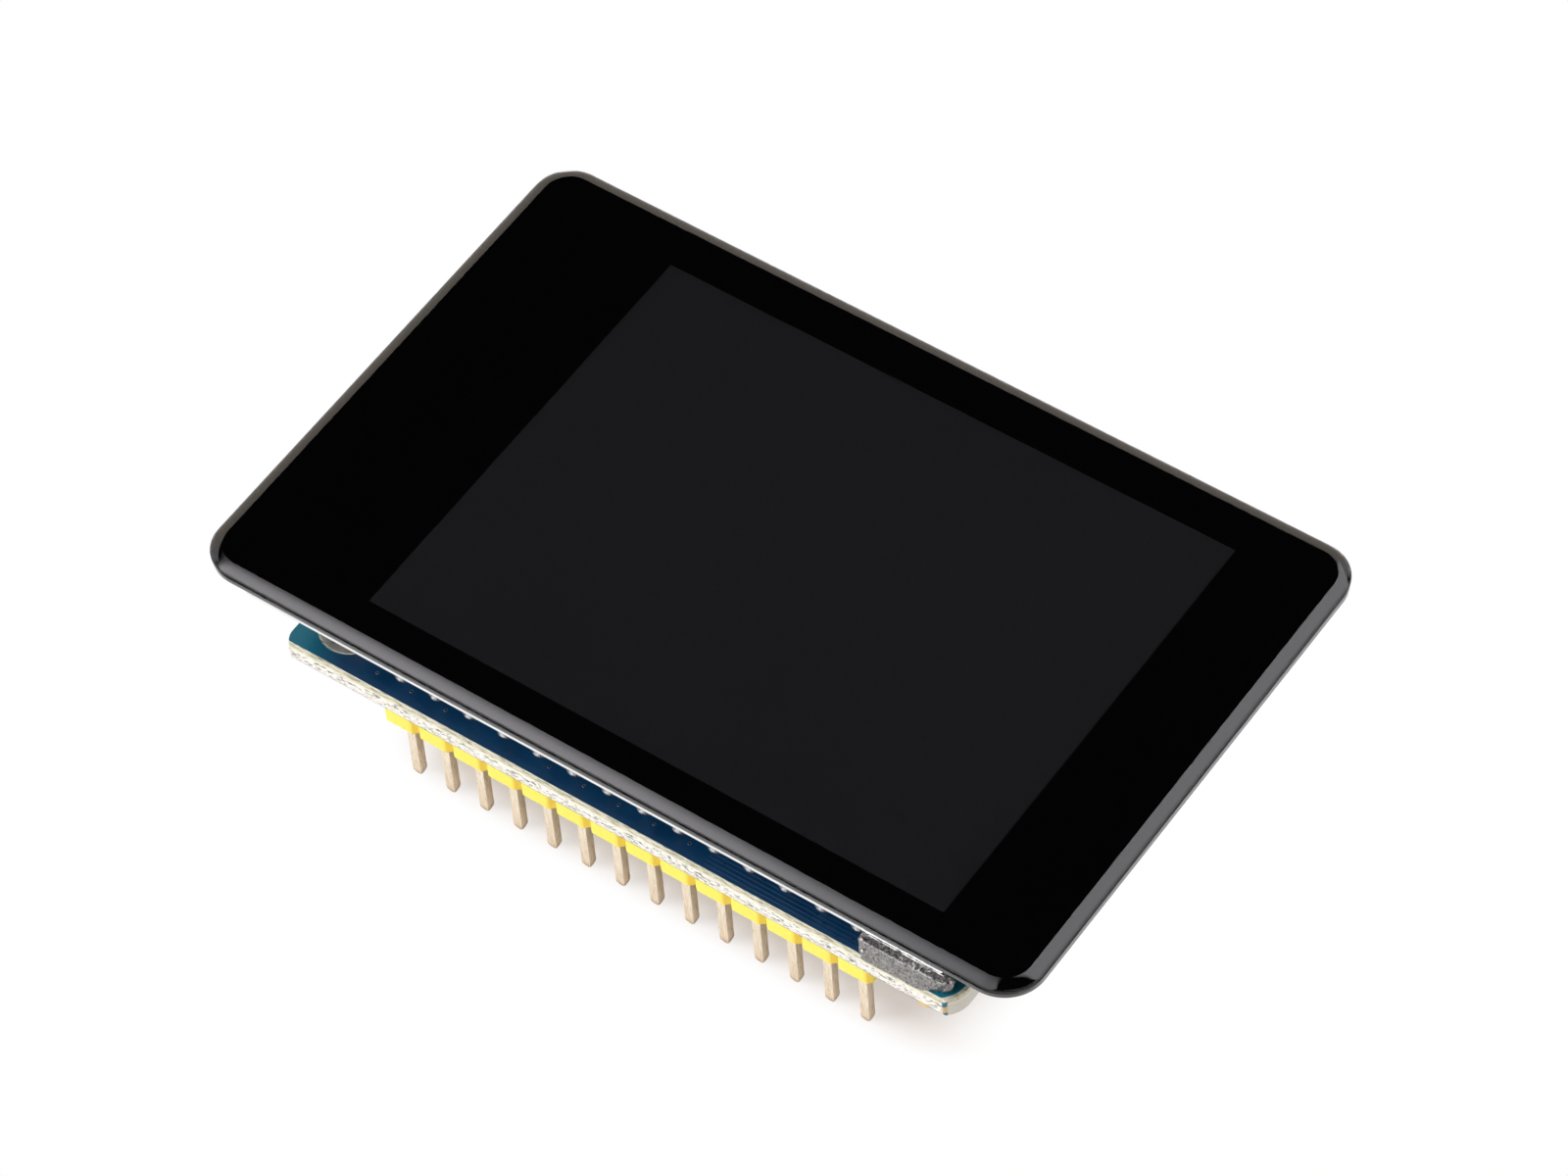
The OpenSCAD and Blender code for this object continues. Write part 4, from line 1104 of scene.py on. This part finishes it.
class DISPLAYBOARD_OT_lower_tracks(bpy.types.Operator):
    """Models the tracks that leave the pins under the board, each with a jog and a plated via"""

    bl_idname = "display_board.lower_tracks"
    bl_label = "Lower tracks"

    # A track's straight run, its jog, its width, half its thickness, its soft edge, and their lap
    run, jog, wide, thick, soft, lap = (
        size * MM for size in (3.4, 1.6, 0.22, 0.014, 0.01, 0.04)
    )
    # A via's rings: radius and height in mm
    via_rings = (
        (0.3, 0.004), (0.3, -0.014), (0.27, -0.02), (0.15, -0.02), (0.12, 0.0), (0.1, 0.02)
    )

    def execute(self, context):
        header, board = context.scene.pin_header, context.scene.circuit_board
        level = corners("circuit_board")[0].z - board.mask_t
        low, high = corners("header_pins_front")
        start = corners("header_strip_front")[1].y
        first, middle = low.x + header.pin_width / 2, (low.x + high.x) / 2
        pins = [first + step.x for step in row_steps("header_pins_front")]
        rings = [(radius * MM, height * MM) for radius, height in self.via_rings]
        half_turn = Matrix.Rotation(math.pi, 4, "Z")
        tracks, vias = [], []
        for way in (1, -1):
            # Pins left of the middle jog to the right, the others to the left
            own = [x for x in pins if (x < middle) == (way == 1)]
            straight, slant = (
                raised_line(
                    (-self.wide / 2, foot, level - self.thick),
                    (self.wide / 2, foot + reach, level + self.thick),
                    level - self.thick, self.soft,
                )
                for foot, reach in ((start, self.run), (0, self.jog * math.sqrt(2)))
            )
            turn = Matrix.Rotation(-way * math.pi / 4, 4, "Z")
            slant = repeated(slant, [Vector((0, start + self.run - self.lap, 0))], [turn])
            unit = joined([straight, slant])
            end = (way * self.jog, start + self.run + self.jog, level)
            via = turned(rings, end, sides=24)
            # The rear row has the same tracks, turned by half a turn
            steps = [Vector((x, 0, 0)) for x in own]
            steps += [Vector((2 * middle - x, 0, 0)) for x in own]
            turns = [Matrix()] * len(own) + [half_turn] * len(own)
            tracks.append(repeated(unit, steps, turns))
            vias.append(repeated(via, steps, turns))
        settle(
            joined(tracks), "lower_tracks", "blue_mask_over_tracks", smooth=40
        )
        settle(joined(vias), "lower_vias", "tin_solder", smooth=40)
        return {"FINISHED"}


class DISPLAYBOARD_OT_pin_rows(bpy.types.Operator):
    """Models the yellow insulator strips and their square pins"""

    bl_idname = "display_board.pin_rows"
    bl_label = "Pin rows"

    # A pin's end, step by step: its share of the taper, and its width as a share of the last one
    tip = ((0.44, 0.94), (0.28, 0.83), (0.17, 0.72), (0.11, 0.64))
    # The ridges are worn round within this reach of each end, by this percentage of their faces
    worn, worn_share = 0.3 * MM, 28
    ridge = 0.05 * MM

    def execute(self, context):
        sizes = context.scene.pin_header
        for row in ("front", "rear"):
            self.strip(sizes, row)
            self.pins(sizes, row)
        return {"FINISHED"}

    def strip(self, sizes, row):
        """A moulded strip of eight-sided units that run into each other."""
        low, high = corners(f"header_strip_{row}")
        unit = edit_block(low, (low.x + sizes.pitch, high.y, high.z))
        round_edges(upright, sizes.corner_cut)
        round_edges(lambda e: True, sizes.edge_round, segments=2, profile=0.6)
        units = repeated(unit, row_steps(f"header_pins_{row}"))
        # The walls between neighbours go
        bpy.ops.object.mode_set(mode="EDIT")
        first, last = low.x + sizes.corner_cut, high.x - sizes.corner_cut
        pick("FACE", lambda f: abs(f.normal.x) > 0.99 and first < f.calc_center_median().x < last)
        bpy.ops.mesh.delete(type="FACE")
        bpy.ops.mesh.select_all(action="SELECT")
        bpy.ops.mesh.remove_doubles(threshold=NEAR)
        settle(
            units, f"strip_units_{row}", "yellow_moulded_nylon",
            [f"header_strip_{row}"],
        )

    def pins(self, sizes, row):
        """Square pins that taper to a blunt, worn point at both ends."""
        low, high = corners(f"header_pins_{row}")
        pin = edit_block(low, (low.x + sizes.pin_width, high.y, high.z))
        middle = (low.x + sizes.pin_width / 2, (low.y + high.y) / 2, 0)
        for level, inward in ((low.z, 1), (high.z, -1)):
            pick("FACE", at_level(level))
            bpy.ops.transform.translate(value=(0, 0, inward * sizes.pin_taper))
            for part, width in self.tip:
                extrude_up(-inward * part * sizes.pin_taper)
                bpy.ops.transform.resize(value=(width, width, 1), center_override=middle)
            near_end = at_level(level, within=self.worn)
            round_edges(
                lambda e: near_end(e) and abs(e.verts[0].co.z - e.verts[1].co.z) > NEAR,
                offset=0, segments=2, offset_type="PERCENT", offset_pct=self.worn_share,
            )
        round_edges(upright, self.ridge, segments=2)
        settle(
            repeated(pin, row_steps(f"header_pins_{row}")), f"pins_{row}",
            "tin_plated_brass_wire", [f"header_pins_{row}"],
        )


class DISPLAYBOARD_OT_solder_joints(bpy.types.Operator):
    """Models the solder cones round the pin tails"""

    bl_idname = "display_board.solder_joints"
    bl_label = "Solder joints"

    # A cone's rings: shares of the solid's radius and height
    rings = (
        (1.12, -0.05), (1.12, 0.05), (1.03, 0.16), (0.86, 0.35), (0.73, 0.57), (0.64, 0.78),
        (0.51, 0.94), (0.3, 1.0),
    )

    def execute(self, context):
        for row in ("front", "rear"):
            node = f"header_solder_{row}"
            low, high = corners(node)
            radius, height = (high.y - low.y) / 2, high.z - low.z
            place = (low.x + radius, (low.y + high.y) / 2, low.z)
            cone = turned([(r * radius, h * height) for r, h in self.rings], place)
            settle(
                repeated(cone, row_steps(node)), f"joints_{row}", "tin_solder", [node],
                smooth=60,
            )
        return {"FINISHED"}


class DISPLAYBOARD_OT_frame_bond(bpy.types.Operator):
    """Models the lump of hand solder that bonds the tray to the board, and a bright bead by it"""

    bl_idname = "display_board.frame_bond"
    bl_label = "Frame bond"

    # The lump past its solid: forward, to the right, backward, and how far it is sunk
    forward, right, behind, sunk = 0.18 * MM, 0.35 * MM, 0.08 * MM, 0.25 * MM
    # Its upper front edge lies back by this share of its depth, and lower
    set_back, lowered = 0.42, 0.1 * MM
    # How far its front foot is drawn in at the left and at the right, and its round right end
    left_in, right_in, end_radius = 0.45 * MM, 1.6 * MM, 0.6 * MM
    # How finely the lump and the bead are meshed, and how long each is melted smooth
    lump_voxel, lump_melt, bead_voxel, bead_melt = 0.04 * MM, 24, 0.025 * MM, 3
    # Its uneven surface, coarse to fine: pattern, grain and height in mm
    grains = (
        ("solder_lumps", 0.9, 0.22), ("solder_pits", 0.35, 0.08), ("solder_frost", 0.12, 0.02)
    )

    def execute(self, context):
        low, high = corners("frame_solder")
        self.lump(low, high)
        self.bead(low, high)
        return {"FINISHED"}

    def lump(self, low, high):
        """A sloping block that narrows to the front, melted round and pitted."""
        lump = edit_block(
            low - Vector((0, self.forward, self.sunk)),
            high + Vector((self.right, self.behind, -self.sunk)),
        )
        pick("VERT", lambda v: v.co.z > low.z and v.co.y < low.y + NEAR)
        bpy.ops.transform.translate(
            value=(0, self.set_back * (high.y - low.y), -self.lowered)
        )
        for side, move in ((low.x, self.left_in), (high.x + self.right, -self.right_in)):
            pick("VERT", lambda v: abs(v.co.x - side) < NEAR and v.co.y < low.y + NEAR)
            bpy.ops.transform.translate(value=(move, 0, 0))
        # The two edges that rise at its right end
        middle, rise = (low.x + high.x) / 2, 0.5 * MM
        round_edges(
            lambda e: all(v.co.x > middle for v in e.verts)
            and abs(e.verts[0].co.z - e.verts[1].co.z) > rise,
            self.end_radius, segments=5,
        )
        modify(lump, "REMESH", mode="VOXEL", voxel_size=self.lump_voxel)
        modify(lump, "SMOOTH", iterations=self.lump_melt)
        for name, grain, height in self.grains:
            roughen(lump, name, grain * MM, strength=height * MM, mid_level=0.5)
        settle(lump, "frame_bond", "frosted_hand_solder", ["frame_solder"], smooth=60)

    def bead(self, low, high):
        """Solder that ran along the tray's foot and froze bright, and three splashed balls."""
        foot = corners("screen_tray")[0]
        # Its ends inside the lump's, and its faces before, behind, below and above the foot's line
        left, right, before, behind, below, above = (
            size * MM for size in (0.05, 0.4, 0.08, 0.04, 0.03, 0.08)
        )
        grain, swell = 0.7 * MM, 0.09 * MM
        run = edit_block(
            (low.x + left, foot.y - before, foot.z - below),
            (high.x - right, foot.y + behind, foot.z + above),
        )
        modify(run, "REMESH", mode="VOXEL", voxel_size=self.bead_voxel)
        modify(run, "SMOOTH", iterations=self.bead_melt)
        roughen(run, "solder_run", grain, strength=swell, mid_level=0.45)
        # A ball's rings, as shares of its radius and its height
        profile = ((0.4, 0.0), (0.85, 0.15), (1.0, 0.5), (0.85, 0.85), (0.4, 1.0))
        upper = Vector((low.x, low.y, high.z))
        pieces = [run]
        # Each ball's radius in mm, and its place in mm from a corner of the solid
        for radius, corner, move in (
            (0.11, low, (0.53, -0.04, 0.43)),
            (0.09, upper, (3.9, 0.3, -0.47)),
            (0.08, upper, (4.25, 0.28, -0.43)),
        ):
            rings = [(r * radius * MM, 2 * h * radius * MM) for r, h in profile]
            pieces.append(turned(rings, corner + Vector(move) * MM, sides=20))
        settle(joined(pieces), "bond_bead", "bright_run_solder", smooth=60)


class DISPLAYBOARD_OT_stage(bpy.types.Operator):
    """Sets the floor, the light and the camera"""

    bl_idname = "display_board.stage"
    bl_label = "Studio"

    floor_radius, floor_gap = 2.5, 0.02 * MM
    # The rectangle that keeps the shadow: how far to the right it is set and how it is turned, how
    # far it ends inside the pin row and stands out before it, and how slowly it runs out along X
    shadow_x, shadow_turn = 2.5 * MM, math.radians(-0.3)
    shadow_inside, shadow_before, shadow_slow = 1.1 * MM, 0.7 * MM, 0.5
    # Reflections keep the shadow this much further out, and start to lose it at this share of that
    mirror_reach, mirror_start = 2.3 * MM, 0.2
    # Soft boxes: each side's place 20 degrees behind the zenith and 35 before it, where the box
    # starts, in degrees, the blur of its first side, and its radiance at places down along it
    front_box = {
        "sides": ((-0.56, -0.80), (-0.27, 0.09)), "start": -20, "blur": 0.2,
        "glow": (
            (0.06, 1.8), (0.13, 2.2), (0.26, 3.5), (0.41, 4.35), (0.69, 4.4), (0.79, 3.7),
            (0.93, 2.0), (1.0, 0.8),
        ),
    }
    right_box = {
        "sides": ((0.38, 0.20), (0.76, 0.76)), "start": -15, "blur": 0.06,
        "glow": ((0.25, 2.7), (0.55, 2.8), (0.78, 2.1), (1.0, 0.8)),
    }
    # In degrees, where the places down along a box begin and end, and where its sides slant
    box_run, box_slant = (-30, 90), (-20, 35)
    # The softness of a box's sides, and in degrees of its start, to either hand
    side_blur, start_blur = 0.03, (-3, 2)
    full_glow, wall_glow, room_glow = 5.0, 1.25, 0.015
    lamp_size, lamp_power, lamp_height = (0.6, 0.4), 1.0, 0.8
    picture_width, clip = 36.0, (0.01, 20.0)

    def execute(self, context):
        studio = context.scene.studio
        self.floor(studio)
        self.world(context.scene)
        self.lamp()
        self.camera(context.scene, studio)
        context.scene.view_settings.view_transform = "Standard"
        return {"FINISHED"}

    def floor(self, studio):
        """A white floor that keeps the part's shadow close by and runs out into plain white."""
        clear_selection()
        bpy.ops.mesh.primitive_circle_add(
            vertices=96, radius=self.floor_radius, fill_type="NGON",
            location=(0, 0, -self.floor_gap),
        )
        floor = bpy.context.object
        floor.name = "studio_floor"
        # White card: plain and matt, with a faint warm tint painted into the shadow for bounced
        # light
        material, tree, place = new_finish("white_card_floor")
        # Distance on the floor from a rectangle under the part
        low, high = corners("header_pins_front")
        reach = studio.shadow_reach
        half_x = (high.x - low.x) / 2 - self.shadow_inside
        half_y = self.shadow_before - low.y - reach
        out = add_node(
            tree, "Mapping",
            {
                "Vector": place, "Location": (self.shadow_x, 0, 0),
                "Rotation": (0, 0, self.shadow_turn),
            },
            vector_type="TEXTURE",
        )
        for operation, by in (
            ("ABSOLUTE", (0, 0, 0)), ("SUBTRACT", (half_x, half_y, 1.0)), ("MAXIMUM", (0, 0, 0)),
            ("MULTIPLY", (self.shadow_slow, 1, 1)), ("LENGTH", (0, 0, 0)),
        ):
            out = add_node(tree, "VectorMath", {0: out, 1: by}, operation=operation)
        distance = out.outputs["Value"]
        # The camera sees the shadow lifted; metal and glass show it in full
        path = add_node(tree, "LightPath")
        lift = 0.0
        for ray, least, start in (
            ("Is Camera Ray", studio.floor_glow, 0.0),
            ("Is Glossy Ray", 0.0, self.mirror_reach),
            ("Is Transmission Ray", 0.0, self.mirror_reach),
        ):
            ends = {"From Min": self.mirror_start * start, "From Max": start + reach}
            far = add_node(
                tree, "MapRange", {"Value": distance, **ends, "To Min": least, "To Max": 1.0},
                interpolation_type="SMOOTHSTEP",
            )
            share = add_node(tree, "Math", {0: far, 1: path.outputs[ray]}, operation="MULTIPLY")
            lift = add_node(tree, "Math", {0: lift, 1: share}, operation="MAXIMUM")
        card = add_node(tree, "BsdfDiffuse", {"Color": rgba(studio.floor_card_painted_warm)})
        # Painted warm tint for bounced light, strongest where the shadow is least lifted
        warm, plain = rgba(studio.shadow_painted_warmth), rgba("#FFFFFF")
        tone = add_node(tree, "MixRGB", {"Fac": lift, "Color1": warm, "Color2": plain})
        white = add_node(tree, "Emission", {"Color": tone, "Strength": 1.0})
        blend = add_node(tree, "MixShader", {0: lift, 1: card, 2: white})
        add_node(tree, "OutputMaterial", {"Surface": blend})
        floor.data.materials.append(material)

    def soft_box(self, tree, toward, up, across, sides, start, blur, glow):
        """Radiance of one soft box, which leans over the part from its start down to the floor."""
        lean = add_node(tree, "Math", {0: toward, 1: up}, operation="ARCTAN2")
        begin, end = map(math.radians, self.box_run)
        along = add_node(tree, "MapRange", {"Value": lean, "From Min": begin, "From Max": end})
        level = add_node(
            tree, "ValToRGB", {"Fac": along},
            stops=[(place, (value / self.full_glow,) * 3) for place, value in glow],
        )
        light = add_node(tree, "Math", {0: level, 1: self.full_glow}, operation="MULTIPLY")
        # Soft borders: the two sides, which slant as the box leans over, and the start
        borders = [(lean, *(math.radians(start + blurred) for blurred in self.start_blur))]
        begin, end = map(math.radians, self.box_slant)
        soft = self.side_blur
        for (first, last), none, whole in zip(sides, (-soft, soft), (blur, -soft)):
            places = {"From Min": begin, "From Max": end, "To Min": first, "To Max": last}
            side = add_node(tree, "MapRange", {"Value": lean, **places})
            past = add_node(tree, "Math", {0: across, 1: side}, operation="SUBTRACT")
            borders.append((past, none, whole))
        for value, none, whole in borders:
            share = add_node(
                tree, "MapRange", {"Value": value, "From Min": none, "From Max": whole},
                interpolation_type="SMOOTHSTEP",
            )
            light = add_node(tree, "Math", {0: light, 1: share}, operation="MULTIPLY")
        return light

    def world(self, scene):
        """A dark room with two tall soft boxes and white walls; the camera sees plain white."""
        world = bpy.data.worlds.new("studio_room")
        scene.world = world
        world.use_nodes = True
        tree = world.node_tree
        tree.nodes.clear()
        way = add_node(tree, "TexCoord").outputs["Generated"]
        right, back, up = add_node(tree, "SeparateXYZ", {"Vector": way}).outputs
        leftward = add_node(
            tree, "VectorMath", {0: way, 1: (-0.7, 0.7, 0)}, operation="DOT_PRODUCT"
        ).outputs["Value"]
        # The front box fades to the right; white walls stand at the left, and their light is warm
        fades = []
        for value, none, whole, least, most in (
            (right, -0.27, -0.40, 0.45, 1.0),
            (leftward, 0.25, 0.45, 0.0, 1.0),
            (up, 0.745, 0.70, 0.0, self.wall_glow),
            (leftward, 0.55, 0.75, 0.0, 1.0),
        ):
            ends = {"From Min": none, "From Max": whole, "To Min": least, "To Max": most}
            fades.append(
                add_node(
                    tree, "MapRange", {"Value": value, **ends}, interpolation_type="SMOOTHSTEP"
                )
            )
        fade, wall_side, wall_height, warmth = fades
        front = add_node(tree, "Math", {0: back, 1: -1.0}, operation="MULTIPLY")
        front_box = self.soft_box(tree, front, up, right, **self.front_box)
        front_box = add_node(tree, "Math", {0: front_box, 1: fade}, operation="MULTIPLY")
        right_box = self.soft_box(tree, right, up, back, **self.right_box)
        walls = add_node(tree, "Math", {0: wall_side, 1: wall_height}, operation="MULTIPLY")
        room = self.room_glow
        for light in (front_box, right_box, walls):
            room = add_node(tree, "Math", {0: room, 1: light}, operation="MAXIMUM")
        cool, warm = rgba("#FCF9FF"), rgba("#FFF2E4")
        tint = add_node(tree, "MixRGB", {"Fac": warmth, "Color1": cool, "Color2": warm})
        light = add_node(tree, "Background", {"Color": tint, "Strength": room})
        white = add_node(tree, "Background", {"Color": rgba("#FFFFFF"), "Strength": 1.0})
        camera = add_node(tree, "LightPath").outputs["Is Camera Ray"]
        blend = add_node(tree, "MixShader", {0: camera, 1: light, 2: white})
        add_node(tree, "OutputWorld", {"Surface": blend})

    def lamp(self):
        """A weak soft box overhead that only lights, for the shadow under the board."""
        data = bpy.data.lights.new("overhead_soft_box", "AREA")
        data.shape, data.energy = "RECTANGLE", self.lamp_power
        data.size, data.size_y = self.lamp_size
        box = bpy.data.objects.new("overhead_soft_box", data)
        box.location = (0, 0, self.lamp_height)
        box.visible_camera = box.visible_glossy = False
        bpy.context.collection.objects.link(box)

    def camera(self, scene, studio):
        """A long lens at the photograph's angle, with a slight lean."""
        data = bpy.data.cameras.new("photo_camera")
        data.lens, data.sensor_width = studio.lens, self.picture_width
        data.clip_start, data.clip_end = self.clip
        camera = bpy.data.objects.new("photo_camera", data)
        bpy.context.collection.objects.link(camera)
        flat, rise = math.cos(studio.elevation), math.sin(studio.elevation)
        back = Vector(
            (math.sin(studio.azimuth) * flat, -math.cos(studio.azimuth) * flat, rise)
        )
        right = Vector((0, 0, 1)).cross(back).normalized()
        right = Matrix.Rotation(studio.roll, 3, back) @ right
        turn = Matrix((right, back.cross(right), back)).transposed().to_4x4()
        camera.matrix_world = (
            Matrix.Translation(Vector(studio.aim) + back * studio.distance) @ turn
        )
        scene.camera = camera


OPERATORS = (
    DISPLAYBOARD_OT_layers,
    DISPLAYBOARD_OT_cover_glass,
    DISPLAYBOARD_OT_tray,
    DISPLAYBOARD_OT_circuit_board,
    DISPLAYBOARD_OT_board_metal,
    DISPLAYBOARD_OT_chips,
    DISPLAYBOARD_OT_lower_tracks,
    DISPLAYBOARD_OT_pin_rows,
    DISPLAYBOARD_OT_solder_joints,
    DISPLAYBOARD_OT_frame_bond,
    DISPLAYBOARD_OT_stage,
)


class DISPLAYBOARD_PT_panel(bpy.types.Panel):
    """Lists the settings and the steps"""

    bl_label = "Touch Display Board"
    bl_idname = "DISPLAYBOARD_PT_panel"
    bl_space_type = "VIEW_3D"
    bl_region_type = "UI"
    bl_category = "Display Board"

    def draw(self, context):
        for name in GROUPS:
            box = self.layout.box()
            box.label(text=name.replace("_", " ").capitalize())
            group = getattr(context.scene, name)
            for key in group.bl_rna.properties.keys():
                if key not in ("rna_type", "name"):
                    box.prop(group, key)
        for operator in OPERATORS:
            self.layout.operator(operator.bl_idname)


CLASSES = (*GROUPS.values(), *OPERATORS, DISPLAYBOARD_PT_panel)


def register():
    for kind in CLASSES:
        bpy.utils.register_class(kind)
    for name, group in GROUPS.items():
        setattr(bpy.types.Scene, name, bpy.props.PointerProperty(type=group))


def unregister():
    for name in GROUPS:
        delattr(bpy.types.Scene, name)
    for kind in reversed(CLASSES):
        bpy.utils.unregister_class(kind)


def main():
    register()
    for operator in OPERATORS:
        step = operator.bl_idname.split(".")[1]
        getattr(bpy.ops.display_board, step)()


if __name__ == "__main__":
    main()
